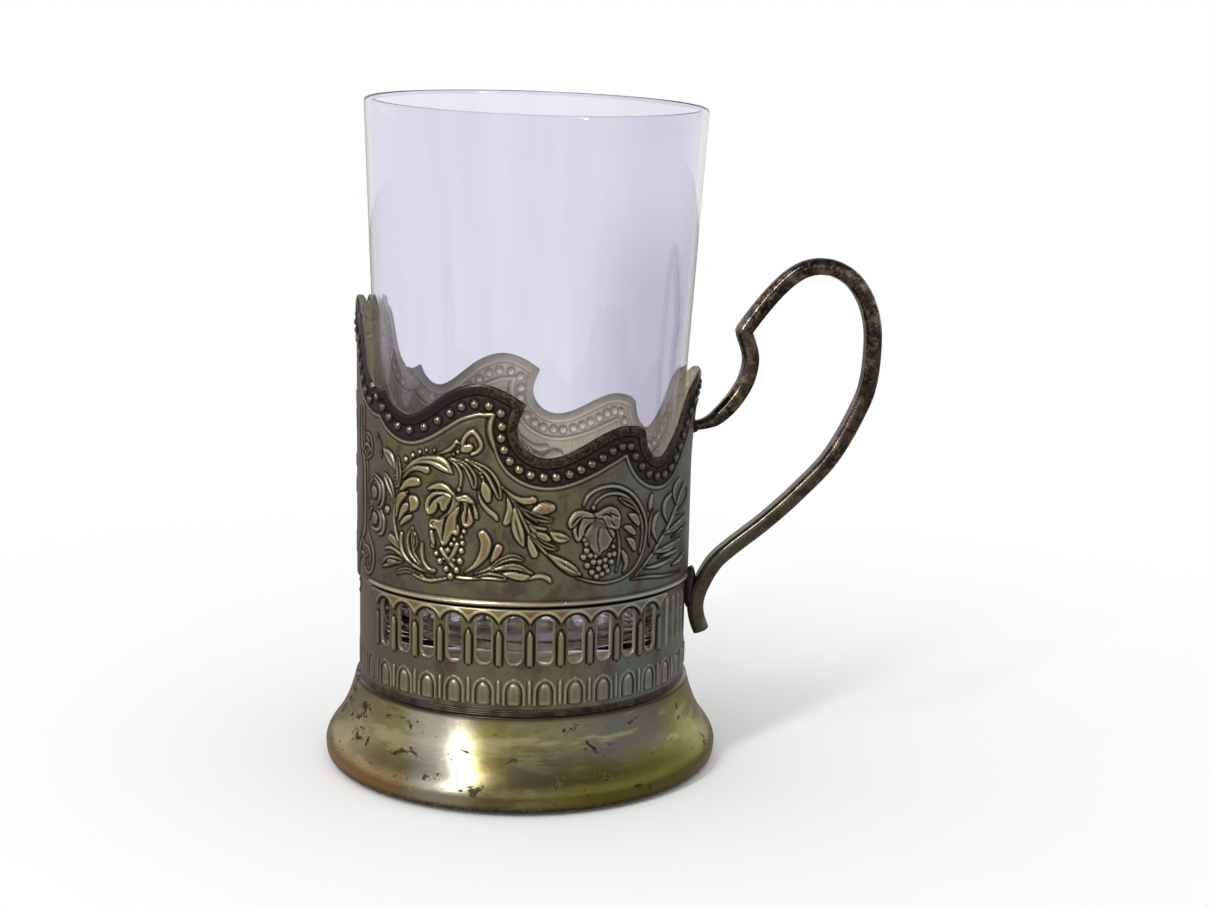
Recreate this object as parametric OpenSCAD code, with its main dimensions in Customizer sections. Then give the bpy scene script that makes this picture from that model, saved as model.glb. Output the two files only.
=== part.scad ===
// Tea glass holder with a stamped sheet sleeve, a pierced arcade and a wavy rim,
// a hollow bell foot and a bent bar handle, with its thin tea glass.
// Millimetres. The origin is the centre of the foot on the table, +Z is up and the
// handle points along +X.

/* [Sleeve] */
// Space between the glass and the sleeve at the tallest point of the rim
glass_gap = 1.24; // [1:0.02:1.6]
// Height of the sleeve from its ring to the tallest point of the rim
body_h = 77.3; // [72:0.5:84]
// Thickness of the sheet
sheet = 0.8; // [0.6:0.1:1]
// How much smaller the radius is below the moulding
drum_step = 0.7; // [0.3:0.05:0.8]
// Height of the moulding above the ring
moulding_z = 20; // [19.5:0.1:22]
// Radius of the half round moulding
moulding_r = 0.7; // [0.4:0.05:0.9]
// How far the raised ornament stands out of the sheet
relief = 0.35; // [0.2:0.05:0.5]
// Width of the raised roll along the wavy edge
roll_w = 1.5; // [1:0.1:2]

/* [Arcade] */
// Number of bays round the sleeve
bays = 36; // [34:1:38]
// Width of a pierced slot
slot_w = 3.1; // [2.6:0.1:3.4]
// Height of a pierced slot
slot_h = 9.5; // [8:0.1:10]
// Height of the slots' lower ends above the ring
slot_z = 8.3; // [8:0.1:8.8]
// Width of the rib between two slots
rib_w = 1.3; // [0.9:0.1:1.4]
// How far a rib stands out of the sheet
rib_rise = 0.6; // [0.4:0.05:0.8]
// Height of a rib
rib_h = 7; // [5:0.1:8]
// Width of a blind arch in the lower row
arch_w = 4.4; // [3.8:0.1:4.8]
// Height of a blind arch
arch_h = 5.2; // [4.4:0.1:5.8]
// Width of the raised line round a blind arch
arch_line = 0.6; // [0.4:0.05:0.8]

/* [Foot] */
// Widest diameter of the foot
foot_d = 83.2; // [80:0.2:92]
// Height of the foot
foot_h = 17.5; // [15:0.5:22]
// Thickness of the foot's sheet
foot_sheet = 0.9; // [0.6:0.1:1.2]
// How far the top of the foot stands out past the sleeve
foot_lip = 0.85; // [0.4:0.05:1.2]
// Width of the flat edge that the foot stands on
foot_edge = 1.1; // [0.8:0.1:1.6]

/* [Ring and seat] */
// Height of the ribbed ring between foot and sleeve
ring_h = 2.2; // [1.8:0.1:3]
// Number of half round ribs on the ring
ring_ribs = 3; // [2:1:4]
// Thickness of the seat under the glass
seat_t = 1; // [0.8:0.1:1.4]
// Diameter of the hole in the seat
seat_hole_d = 40; // [34:1:44]
// Width of the ledge that the ring gives the seat
ledge_w = 3.4; // [2:0.1:6]

/* [Glass] */
// Outer diameter of the glass at its lip
glass_d = 70; // [68:0.5:71]
// Outer diameter of the glass at its base
glass_base_d = 59; // [56:0.5:61]
// Height of the glass
glass_h = 114.4; // [100:0.5:122]
// Wall of the glass
glass_wall = 1.4; // [1:0.1:1.8]
// Thickness of the glass base
glass_base = 7; // [5:0.5:9]

/* [Handle] */
// How far the handle's centre line reaches out of the sleeve
handle_reach = 36.4; // [30:0.2:44]
// Height of the lower joint above the ring
lower_joint_z = 14.3; // [13.5:0.1:16]
// Height of the upper joint above the ring
upper_joint_z = 50.7; // [45:0.5:52]
// Thickness of the bar in the plane of the handle
bar_t = 3.9; // [3.2:0.1:4.6]
// Width of the bar across the handle
bar_w = 5.4; // [4.4:0.1:6.4]

/* [Hidden] */
$fn = 96;

// The play under the standing glass, and how far a cut runs past what it cuts
glass_play = 0.2;
overrun = 1;

// Heights of the stacked pieces
ring_z = foot_h;
sleeve_z = ring_z + ring_h;
glass_z = sleeve_z + seat_t + glass_play;

// The glass leans outwards, and the sleeve clears it at the tallest point of its rim,
// or all round its base where a glass leans inwards
base_r = glass_base_d / 2;
lip_r = glass_d / 2;
glass_at_rim = base_r + (lip_r - base_r) * (sleeve_z + body_h - glass_z) / glass_h;

// Outer radii of the sleeve, above and below the moulding
r_body = max(glass_at_rim, base_r) + glass_gap + sheet;
r_drum = r_body - drum_step;

// Bays with a slot, counted from the handle: the rest of the arcade is blind
first_slot = round(bays / 9);
last_slot = round(bays * 7 / 18);
bay_turn = 360 / bays;
// The arcs over the slots cross each other a little, which makes their points
scallop_r = r_drum * PI / bays * 1.06;
scallop_z = slot_z + slot_h + relief - scallop_r;

// The rim as smooth runs that meet in points, each place an angle from the handle
// and a height as a share of the sleeve's height
rim_runs_shares = [
    [[0, 0.825], [9, 0.825], [17, 0.787], [22.5, 0.735], [27.5, 0.683], [32, 0.645],
        [36, 0.618], [39, 0.612], [42, 0.622], [44.3, 0.645], [45.4, 0.683]],
    [[45.4, 0.683], [48, 0.695], [53, 0.7], [58, 0.695], [64, 0.676], [70, 0.652],
        [76, 0.632], [81, 0.627], [85, 0.636], [88, 0.656], [89.6, 0.683],
        [89.5, 0.712], [87.2, 0.757]],
    [[87.2, 0.757], [92, 0.782], [97.5, 0.8], [102.5, 0.805], [107.5, 0.797],
        [112.5, 0.78], [117.5, 0.754], [122.5, 0.729], [127.5, 0.716],
        [132.5, 0.727], [136, 0.752], [138, 0.778]],
    [[138, 0.778], [142, 0.77], [146, 0.778], [149.5, 0.8], [152, 0.832],
        [154, 0.873], [155.8, 0.915], [158, 0.946], [160.6, 0.953]],
    [[160.6, 0.953], [161.4, 0.975], [164, 0.991], [167, 0.99], [169, 0.958]],
    [[169, 0.958], [171, 0.974], [175, 0.995], [180, 1]]
];
// The runs that are cut in one direction: over the handle, on either side, on the far side
rim_stretches = [[0], [1], [2], [3, 4, 5]];
run_steps = 3;
roll_steps = 1;

// The bell of the foot, as shares of its spread and of its height, from the top
bell_flare_shares = [[0, 1], [0.08, 0.77], [0.37, 0.6], [0.68, 0.415]];
bell_shoulder_shares = [[0.68, 0.415], [0.91, 0.285], [1, 0.235], [1, 0.165]];
bell_tuck_shares = [[1, 0.165], [1, 0.07], [0.92, 0.02], [0.78, 0]];
bell_steps = 7;

// The centre line of the bar, as shares of the reach and of the height between the joints
bar_start_share = 0.03;
bar_neck_shares = [[bar_start_share, 1], [0.075, 1.01], [0.134, 1.045], [0.221, 1.146],
    [0.29, 1.269], [0.314, 1.407], [0.27, 1.555]];
bar_loop_shares = [[0.27, 1.555], [0.342, 1.657], [0.429, 1.769], [0.519, 1.858],
    [0.604, 1.909], [0.694, 1.926], [0.787, 1.907], [0.88, 1.838], [0.954, 1.714],
    [0.995, 1.541], [0.989, 1.286], [0.937, 1.102], [0.798, 0.83], [0.609, 0.615],
    [0.432, 0.445], [0.251, 0.294], [0.159, 0.198], [0.087, 0.07], [0.06, -0.03],
    [0.067, -0.124], [0.1, -0.209]];
bar_steps = 3;
// Half of the bar's section, as shares of half its thickness and half its width,
// from the rounded outer side to the flat inner side
bar_section_shares = [[1, 0.2], [0.85, 0.55], [0.5, 0.85], [0, 1], [-0.5, 0.95], [-1, 0.62]];

// The solder pads between the bar and the sleeve
upper_pad_r = bar_w * 0.58;
lower_pad_w = bar_w * 0.8;
lower_pad_from_share = -0.09;
lower_pad_to_share = 0.11;
seam_w = bar_w * 0.4;
seam_t = sheet * 0.4;

// A point on a cubic curve, the curve itself and a smooth run through points
function cubic(p, t) = pow(1 - t, 3) * p[0] + 3 * t * pow(1 - t, 2) * p[1]
    + 3 * t * t * (1 - t) * p[2] + t * t * t * p[3];
function cubic_run(p, steps) = [for (i = [0:steps]) cubic(p, i / steps)];
function last_of(pts) = pts[len(pts) - 1];
function clamped(pts, i) = pts[min(max(i, 0), len(pts) - 1)];
function spline_point(pts, i, t) = let (
    here = pts[i],
    next = pts[i + 1],
    leave = (next - clamped(pts, i - 1)) / 6,
    arrive = (clamped(pts, i + 2) - here) / 6
) cubic([here, here + leave, next - arrive, next], t);
function open_run(pts, steps) = [
    for (i = [0:len(pts) - 2]) for (s = [0:steps - 1]) spline_point(pts, i, s / steps)
];
function smooth_run(pts, steps) = concat(open_run(pts, steps), [last_of(pts)]);
function arc(centre, r, from, to, steps) = [
    for (i = [0:steps]) let (a = from + (to - from) * i / steps) centre + r * [cos(a), sin(a)]
];

// One stretch of the rim, the first and the last of them with their mirrored halves
function stretch(k, steps) = let (
    runs = rim_stretches[k],
    side = concat(
        [for (run = runs) each open_run(rim_runs_shares[run], steps)],
        [last_of(rim_runs_shares[last_of(runs)])]
    ),
    n = len(side) - 1
) k == 0
    ? concat([for (i = [n:-1:1]) [-side[i][0], side[i][1]]], side)
    : k == len(rim_stretches) - 1
    ? concat(side, [for (i = [n - 1:-1:0]) [360 - side[i][0], side[i][1]]])
    : side;

// A round band between two heights and two radii
module band(z_from, z_to, r_from, r_to) {
    translate([0, 0, z_from])
        rotate_extrude()
            translate([r_from, 0])
                square([r_to - r_from, z_to - z_from]);
}

// A shape drawn on the sleeve, carried out radially at one angle from a radius
module radially(turn, r_from) {
    rotate([0, 0, turn])
        translate([r_from, 0, 0])
            rotate([90, 0, 90])
                linear_extrude(r_body + relief + overrun - r_from)
                    children();
}

// The outline of a slot or an arch: round at the top, and at the foot where asked
module round_slot(w, h, round_foot) {
    translate([0, h - w / 2])
        circle(d = w);
    translate([-w / 2, round_foot ? w / 2 : 0])
        square([w, h - w / 2 - (round_foot ? w / 2 : 0)]);
    if (round_foot)
        translate([0, w / 2])
            circle(d = w);
}

// What lies above one stretch of the rim. Its ends run on straight, clear of the next one
module stretch_cut(k, shift, drop, steps) {
    line = stretch(k, steps);
    middle = (line[0][0] + last_of(line)[0]) / 2;
    half_span = (last_of(line)[0] - line[0][0]) / 2;
    top = body_h + 2 * overrun;
    places = [for (p = line) [r_body * sin(p[0] - middle), p[1] * body_h - drop]];
    n = len(places) - 1;
    before = places[0] + unit(places[0] - places[1]) * overrun;
    after = places[n] + unit(places[n] - places[n - 1]) * overrun;
    radially(middle + shift, r_body * cos(half_span) - sheet - 2 * overrun)
        polygon(concat([before], places, [after, [after[0], top], [before[0], top]]));
}

// What lies above the wavy rim, shifted along the sleeve by a turn and a drop
module rim_cut(shift, drop, steps) {
    last = len(rim_stretches) - 1;
    stretch_cut(0, shift, drop, steps);
    stretch_cut(last, shift, drop, steps);
    for (side = [0, 1]) mirror([0, side, 0])
        for (k = [1:last - 1])
            stretch_cut(k, shift, drop, steps);
}

// The raised roll along the wavy rim
module rim_roll() {
    heights = [for (run = rim_runs_shares) for (p = run) p[1]];
    low = min(heights) * body_h - 2 * roll_w;
    roll_turn = roll_w / r_body * 180 / PI;
    intersection() {
        band(low, body_h + overrun, r_body - sheet / 2, r_body + relief);
        union() {
            rim_cut(0, roll_w, roll_steps);
            rim_cut(roll_turn, 0, roll_steps);
            rim_cut(-roll_turn, 0, roll_steps);
        }
    }
}

module ribs() {
    intersection() {
        band(slot_z - rib_w, slot_z + rib_h + rib_w, r_drum - sheet / 2, r_drum + rib_rise);
        for (side = [-1, 1]) for (k = [first_slot:last_slot + 1])
            radially(side * (k - 0.5) * bay_turn, r_drum - sheet)
                translate([0, slot_z - rib_w / 2])
                    round_slot(rib_w, rib_h + rib_w, true);
    }
}

module slots() {
    for (side = [-1, 1]) for (k = [first_slot:last_slot])
        radially(side * k * bay_turn, r_drum - sheet - overrun)
            translate([0, slot_z])
                round_slot(slot_w, slot_h, true);
}

// The raised band over the slots, scalloped along its lower edge
module scallops() {
    difference() {
        band(scallop_z, moulding_z, r_drum - sheet / 2, r_drum + relief);
        for (side = [-1, 1]) for (k = [first_slot:last_slot])
            radially(side * k * bay_turn, r_drum - sheet - overrun)
                translate([0, scallop_z])
                    circle(r = scallop_r, $fn = 48);
    }
}

// The lower row of blind arches, each with a raised line and a low cushion
module blind_arches() {
    arch_z = arch_line;
    difference() {
        intersection() {
            band(arch_z / 2, arch_z + arch_h + arch_line, r_drum - sheet / 2, r_drum + relief);
            for (k = [0:bays - 1])
                radially(k * bay_turn, r_drum - sheet)
                    translate([0, arch_z])
                        round_slot(arch_w, arch_h, false);
        }
        intersection() {
            band(arch_z / 2, arch_z + arch_h + arch_line, r_drum + relief / 3, r_body + overrun);
            for (k = [0:bays - 1])
                radially(k * bay_turn, r_drum - sheet)
                    translate([0, arch_z + arch_line])
                        round_slot(arch_w - 2 * arch_line, arch_h - 2 * arch_line, false);
        }
    }
}

module moulding() {
    rotate_extrude()
        translate([r_body, moulding_z])
            intersection() {
                circle(r = moulding_r, $fn = 24);
                translate([-sheet / 2, -moulding_r])
                    square(2 * moulding_r);
            }
}

module sleeve() {
    color("#8d8560")
    translate([0, 0, sleeve_z]) {
        difference() {
            union() {
                band(0, moulding_z, r_drum - sheet, r_drum);
                band(moulding_z - moulding_r, body_h + overrun, r_body - sheet, r_body);
                band(moulding_z - moulding_r, moulding_z, r_drum - sheet, r_body);
                scallops();
                moulding();
                rim_roll();
            }
            slots();
            rim_cut(0, 0, run_steps);
        }
        blind_arches();
        ribs();
    }
}

module seam_solder() {
    seam_top = rim_runs_shares[0][0][1] * body_h - roll_w;
    color("#a8a79a")
    translate([0, 0, sleeve_z])
        intersection() {
            union() {
                band(seat_t + seam_t, moulding_z, r_drum - sheet - seam_t, r_drum - sheet);
                band(moulding_z, moulding_z + seam_t, r_drum - sheet - seam_t, r_body - sheet);
                band(moulding_z, seam_top, r_body - sheet - seam_t, r_body - sheet);
            }
            translate([0, -seam_w / 2, 0])
                cube([r_body, seam_w, body_h]);
        }
}

module glass_seat() {
    color("#77705a")
    translate([0, 0, sleeve_z])
        difference() {
            cylinder(r = r_drum - sheet, h = seat_t);
            translate([0, 0, -overrun])
                cylinder(d = seat_hole_d, h = seat_t + 2 * overrun);
        }
}

module foot_ring() {
    rib_r = ring_h / ring_ribs / 2;
    ring_out = r_drum + rib_r / 2;
    ring_in = r_drum - sheet - ledge_w;
    color("#5d5645")
    translate([0, 0, ring_z])
        rotate_extrude()
            polygon([
                [ring_in, 0],
                for (k = [0:ring_ribs - 1])
                    each arc([ring_out - rib_r, (2 * k + 1) * rib_r], rib_r, -90, 90, 6),
                [ring_in, ring_h]
            ]);
}

function bell_place(p) = [
    r_drum + foot_lip + p[0] * (foot_d / 2 - r_drum - foot_lip),
    p[1] * foot_h
];
bell_line = concat(
    cubic_run(bell_flare_shares, bell_steps),
    [for (i = [1:bell_steps]) cubic(bell_shoulder_shares, i / bell_steps)],
    [for (i = [1:bell_steps]) cubic(bell_tuck_shares, i / bell_steps)]
);

module foot() {
    plate_in = seat_hole_d / 2 + ledge_w;
    outer = [for (p = bell_line) bell_place(p)];
    last = last_of(outer);
    inner = [for (i = [bell_steps * 2:-1:0])
        [outer[i][0] - foot_sheet * 1.2, min(outer[i][1], foot_h - foot_sheet)]];
    color("#a88f4f")
        rotate_extrude()
            polygon(concat(
                outer,
                [[last[0] - foot_edge, 0], [last[0] - foot_edge, foot_sheet]],
                inner,
                [
                    [plate_in, foot_h - foot_sheet],
                    [plate_in, foot_h]
                ]
            ));
}

module tea_glass() {
    corner = glass_base * 0.45;
    bowl = glass_base * 0.85;
    inner_base = base_r - glass_wall + (lip_r - base_r) * (glass_base + bowl) / glass_h;
    color([0.9, 0.9, 0.95, 0.4])
    translate([0, 0, glass_z])
        rotate_extrude()
            polygon(concat(
                [[0, corner / 4], [base_r - 2 * corner, corner / 4], [base_r - 1.5 * corner, 0]],
                arc([base_r - corner, corner], corner, -90, 0, 6),
                arc([lip_r - glass_wall / 2, glass_h - glass_wall / 2], glass_wall / 2, 0, 180, 8),
                arc([inner_base - bowl, glass_base + bowl], bowl, 0, -90, 8),
                [[0, glass_base]]
            ));
}

// The bar's centre line in the plane of the handle, with the kink where the runs meet
function bar_place(p) = [
    r_body + p[0] * handle_reach,
    sleeve_z + lower_joint_z + p[1] * (upper_joint_z - lower_joint_z)
];
bar_line = [
    for (p = smooth_run(bar_neck_shares, bar_steps)) bar_place(p),
    for (i = [1:(len(bar_loop_shares) - 1) * bar_steps])
        bar_place(smooth_run(bar_loop_shares, bar_steps)[i])
];
function unit(v) = v / norm(v);
// The side of the bar away from the finger gap, stretched where the line turns
function bar_side(i) = let (
    before = i == 0 ? [1, 0] : unit(bar_line[i] - bar_line[i - 1]),
    after = i == len(bar_line) - 1 ? before : unit(bar_line[i + 1] - bar_line[i]),
    start = i == 0 ? [1, 0] : after,
    along = unit(before + start)
) [-along[1], along[0]] / (before * along);

module handle() {
    half = bar_section_shares;
    section = concat(half, [for (i = [len(half) - 1:-1:0]) [half[i][0], -half[i][1]]]);
    sides = len(section);
    rings = len(bar_line);
    places = [
        for (i = [0:rings - 1]) for (s = section)
            let (p = bar_line[i] + bar_side(i) * s[0] * bar_t / 2)
            [p[0], s[1] * bar_w / 2, p[1]]
    ];
    color("#4c4436")
        polyhedron(places, concat(
            [[for (j = [0:sides - 1]) j]],
            [[for (j = [sides - 1:-1:0]) (rings - 1) * sides + j]],
            [for (i = [0:rings - 2]) for (j = [0:sides - 1]) let (
                a = i * sides + j,
                b = i * sides + (j + 1) % sides
            ) each [[a, a + sides, b + sides], [a, b + sides, b]]]
        ));
}

// The space inside the sleeve's outer face, which the solder pads are cut to
module sleeve_space() {
    translate([0, 0, sleeve_z]) {
        band(0, scallop_z, 0, r_drum, $fn = 360);
        band(scallop_z, moulding_z, 0, r_drum + relief, $fn = 360);
        band(moulding_z, body_h, 0, r_body, $fn = 360);
    }
}

module upper_solder() {
    upper_pad_h = drum_step + overrun + bar_start_share * handle_reach;
    color("#8f8d84")
        difference() {
            translate([r_drum - overrun, 0, sleeve_z + upper_joint_z])
                rotate([0, 90, 0])
                    cylinder(r = upper_pad_r, h = upper_pad_h, $fn = 360);
            sleeve_space();
        }
}

module lower_solder() {
    from = sleeve_z + lower_joint_z + lower_pad_from_share * (upper_joint_z - lower_joint_z);
    to = sleeve_z + lower_joint_z + lower_pad_to_share * (upper_joint_z - lower_joint_z);
    seat = [
        for (i = [len(bar_line) - 1:-1:0])
            if (bar_line[i][0] < r_body + bar_t && bar_line[i][1] > from && bar_line[i][1] < to)
                bar_line[i] - bar_side(i) * bar_t / 2
    ];
    color("#8f8d84")
        difference() {
            translate([0, lower_pad_w / 2, 0])
                rotate([90, 0, 0])
                    linear_extrude(lower_pad_w)
                        polygon(concat(
                            seat,
                            [
                                [r_drum - overrun, seat[len(seat) - 1][1]],
                                [r_drum - overrun, seat[0][1]]
                            ]
                        ));
            sleeve_space();
        }
}

tea_glass();
sleeve();
seam_solder();
glass_seat();
foot_ring();
foot();
handle();
upper_solder();
lower_solder();
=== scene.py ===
import math

import bmesh
import bpy
import numpy as np
from mathutils import Matrix, Vector


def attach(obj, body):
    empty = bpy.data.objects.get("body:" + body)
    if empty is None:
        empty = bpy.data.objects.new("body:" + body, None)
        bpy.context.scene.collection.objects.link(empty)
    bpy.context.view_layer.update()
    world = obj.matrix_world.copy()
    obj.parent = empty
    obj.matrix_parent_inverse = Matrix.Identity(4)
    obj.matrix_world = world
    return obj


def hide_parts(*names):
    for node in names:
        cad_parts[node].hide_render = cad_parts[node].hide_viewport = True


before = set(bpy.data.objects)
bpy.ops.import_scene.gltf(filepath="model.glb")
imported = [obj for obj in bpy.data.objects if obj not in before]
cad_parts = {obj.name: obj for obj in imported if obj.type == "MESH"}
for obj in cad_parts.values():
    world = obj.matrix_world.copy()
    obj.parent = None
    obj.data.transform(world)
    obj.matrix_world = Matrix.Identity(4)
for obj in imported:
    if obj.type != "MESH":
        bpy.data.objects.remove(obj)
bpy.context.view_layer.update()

mm = 0.001


# small helpers for curves and meshes, in millimetres until a piece is finished

def smoothRun(points, steps):
    # a smooth line through the points, any number of values to a point
    pts = np.array(points, float)
    last = len(pts) - 1
    out = []
    for i in range(last):
        here, nxt = pts[i], pts[i + 1]
        leave = (nxt - pts[max(i - 1, 0)]) / 6
        arrive = (pts[min(i + 2, last)] - here) / 6
        for k in range(steps):
            t = k / steps
            out.append((1 - t) ** 3 * here + 3 * t * (1 - t) ** 2 * (here + leave)
                       + 3 * t * t * (1 - t) * (nxt - arrive) + t ** 3 * nxt)
    out.append(pts[last])
    return np.array(out)


def soft(low, high, x):
    t = np.clip((x - low) / (high - low), 0, 1)
    return t * t * (3 - 2 * t)


def bell(x, middle, half):
    # 1 in the middle, falling away on both sides
    return np.exp(-((x - middle) / half) ** 2)


def dome(q, power=2):
    # from 1 at 0 round down to 0 at 1
    return np.sqrt(np.clip(1 - q ** power, 0, 1))


def arc(centre, radius, first, last, step):
    # points on a circle, by whole degrees
    turns = [math.radians(a) for a in range(first, last + (1 if step > 0 else -1), step)]
    return [(centre[0] + radius * math.cos(t), centre[1] + radius * math.sin(t)) for t in turns]


def asPiece(bm, name, material, body="holder"):
    # writes a bmesh drawn in millimetres to an object in metres that rides on its body
    bmesh.ops.scale(bm, vec=(mm, mm, mm), verts=bm.verts)
    for face in bm.faces:
        face.smooth = True
    mesh = bpy.data.meshes.new(name)
    bm.to_mesh(mesh)
    bm.free()
    piece = bpy.data.objects.new(name, mesh)
    bpy.context.scene.collection.objects.link(piece)
    mesh.materials.append(material)
    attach(piece, body)
    return piece


def turned(profile, closed=True):
    # a profile of (radius, height) spun about the axis
    bm = bmesh.new()
    verts = [bm.verts.new((r, 0, z)) for r, z in profile]
    edges = [bm.edges.new((a, b)) for a, b in zip(verts, verts[1:])]
    if closed:
        edges.append(bm.edges.new((verts[-1], verts[0])))
    bmesh.ops.spin(bm, geom=verts + edges, cent=(0, 0, 0), axis=(0, 0, 1), dvec=(0, 0, 0),
                   angle=2 * math.pi, steps=256, use_merge=True, use_duplicate=False)
    bmesh.ops.remove_doubles(bm, verts=bm.verts, dist=1e-4)
    bmesh.ops.recalc_face_normals(bm, faces=bm.faces)
    return bm


# materials: one class for the arithmetic, one for the nodes

class Wire:
    def __init__(self, recipe, socket):
        self.recipe, self.socket = recipe, socket

    def maths(self, operation, *values):
        return self.recipe.add("ShaderNodeMath", {"operation": operation}, dict(enumerate(values)))

    def __add__(self, other):
        return self.maths("ADD", self, other)

    def __radd__(self, other):
        return self.maths("ADD", other, self)

    def __sub__(self, other):
        return self.maths("SUBTRACT", self, other)

    def __rsub__(self, other):
        return self.maths("SUBTRACT", other, self)

    def __mul__(self, other):
        return self.maths("MULTIPLY", self, other)

    def __rmul__(self, other):
        return self.maths("MULTIPLY", other, self)

    def between(self, low, high):
        # 0 below low and 1 above high, smooth between
        return self.recipe.add("ShaderNodeMapRange", {"interpolation_type": "SMOOTHSTEP"},
                               {"Value": self, "From Min": low, "From Max": high})

    def clamped(self):
        return self.recipe.add("ShaderNodeClamp", {}, {"Value": self})


class Recipe:
    def __init__(self, name, tree=None):
        if tree is None:
            self.material = bpy.data.materials.new(name)
            self.material.use_nodes = True
            tree = self.material.node_tree
        self.tree = tree
        tree.nodes.clear()

    def add(self, kind, settings=None, inputs=None, output=0):
        node = self.tree.nodes.new(kind)
        for key, value in (settings or {}).items():
            if key == "stops":
                ramp = node.color_ramp
                while len(ramp.elements) < len(value):
                    ramp.elements.new(0.5)
                for element, (place, colour) in zip(ramp.elements, value):
                    element.position = place
                    element.color = (*colour, 1) if len(colour) == 3 else colour
            else:
                setattr(node, key, value)
        for key, value in (inputs or {}).items():
            if isinstance(value, Wire):
                self.tree.links.new(value.socket, node.inputs[key])
            elif value is not None:
                socket = node.inputs[key]
                if socket.type == "RGBA" and len(value) == 3:
                    value = (*value, 1)
                socket.default_value = value
        return Wire(self, node.outputs[output]) if node.outputs else None

    def place(self, scale=(1, 1, 1)):
        # Object coordinates in millimetres, stretched where asked
        spot = self.add("ShaderNodeTexCoord", {}, {}, "Object")
        return self.add("ShaderNodeMapping", {},
                        {"Vector": spot, "Scale": tuple(1000 * k for k in scale)})

    def axis(self, letter):
        # one of the Object coordinates in millimetres
        return self.add("ShaderNodeSeparateXYZ", {}, {"Vector": self.place()}, letter)

    def ray(self, kind):
        return self.add("ShaderNodeLightPath", {}, {}, "Is " + kind + " Ray")

    def noise(self, size, detail=4, rough=0.55, scale=(1, 1, 1), twist=0.0):
        # size is that of its largest features, in millimetres
        return self.add("ShaderNodeTexNoise", {},
                        {"Vector": self.place(scale), "Scale": 1 / size, "Detail": detail,
                         "Roughness": rough, "Distortion": twist})

    def blend(self, amount, first, second):
        return self.add("ShaderNodeMix", {"data_type": "RGBA"}, {0: amount, 6: first, 7: second}, 2)

    def coats(self, colour, *layers):
        # each layer covers what lies under it by its share
        for share, tone in layers:
            colour = self.blend(share, colour, tone)
        return colour

    def drawn(self, name):
        return self.add("ShaderNodeAttribute", {"attribute_name": name}, {}, "Fac")

    def bump(self, height, depth, strength=1.0):
        return self.add("ShaderNodeBump", {},
                        {"Height": height, "Distance": depth * mm, "Strength": strength})

    def finish(self, **inputs):
        shader = self.add("ShaderNodeBsdfPrincipled", {},
                          {key.replace("_", " "): value for key, value in inputs.items()})
        self.add("ShaderNodeOutputMaterial", {}, {"Surface": shader})
        return self.material


# camera, light and floor

view = {"place": (14.70, -323.77, 113.30), "heading": 89.63, "down": 8.644, "roll": 1.237,
        "lens": 46.35, "near": 0.01, "far": 50}


def placeCamera():
    head, down, roll = (math.radians(view[k]) for k in ("heading", "down", "roll"))
    ahead = Vector((math.cos(head) * math.cos(down), math.sin(head) * math.cos(down),
                    -math.sin(down)))
    right = Vector((math.sin(head), -math.cos(head), 0))
    up = right.cross(ahead)
    side = right * math.cos(roll) + up * math.sin(roll)
    top = up * math.cos(roll) - right * math.sin(roll)
    camera = bpy.data.objects.new("camera", bpy.data.cameras.new("camera"))
    camera.data.lens = view["lens"]
    camera.data.clip_start, camera.data.clip_end = view["near"], view["far"]
    turn = Matrix((side, top, -ahead)).transposed().to_4x4()
    camera.matrix_world = Matrix.Translation(Vector(view["place"]) * mm) @ turn
    bpy.context.scene.collection.objects.link(camera)
    bpy.context.scene.camera = camera


studio = {
    # metres and watts
    "window": {"place": (-0.64, -0.90, 0.94), "aim": (0, 0, 0.05), "size": (0.11, 1.18),
               "power": 8.0},
    "room": (0.84, 0.84, 0.84),
    # what the metal mirrors, from straight down to straight up
    "mirrored": [(0.0, (0.07, 0.06, 0.05)), (0.40, (0.22, 0.20, 0.18)),
                 (0.49, (0.32, 0.31, 0.30)), (0.56, (0.50, 0.50, 0.50)),
                 (0.65, (0.58, 0.58, 0.57)), (0.76, (0.30, 0.30, 0.31)),
                 (0.85, (0.17, 0.17, 0.18)), (1.0, (0.12, 0.12, 0.13))],
    # bright walls in it: which way, where they begin, where they are full, and their share
    "walls": [((0.53, 0.85, 0.0), 0.8, 0.97, 0.8), ((-0.707, 0.707, 0.0), 0.84, 0.98, 0.5)],
    "wallMirrored": (1.0, 1.0, 0.96),
    "tableMirrored": (0.26, 0.238, 0.208),
    "floor": (0.95, 0.95, 0.95), "floorSize": 6, "floorDrop": 0.0002,
    # how far out the floor turns to plain white
    "plainFrom": 0.09, "plainTo": 0.30,
}


def hangWindow():
    window = studio["window"]
    lamp = bpy.data.lights.new("tallWindow", "AREA")
    lamp.shape = "RECTANGLE"
    lamp.size, lamp.size_y = window["size"]
    lamp.energy = window["power"]
    holder = bpy.data.objects.new("tallWindow", lamp)
    holder.location = window["place"]
    holder.rotation_mode = "QUATERNION"
    aim = Vector(window["aim"]) - Vector(window["place"])
    holder.rotation_quaternion = aim.to_track_quat("-Z", "Y")
    bpy.context.scene.collection.objects.link(holder)


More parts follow.
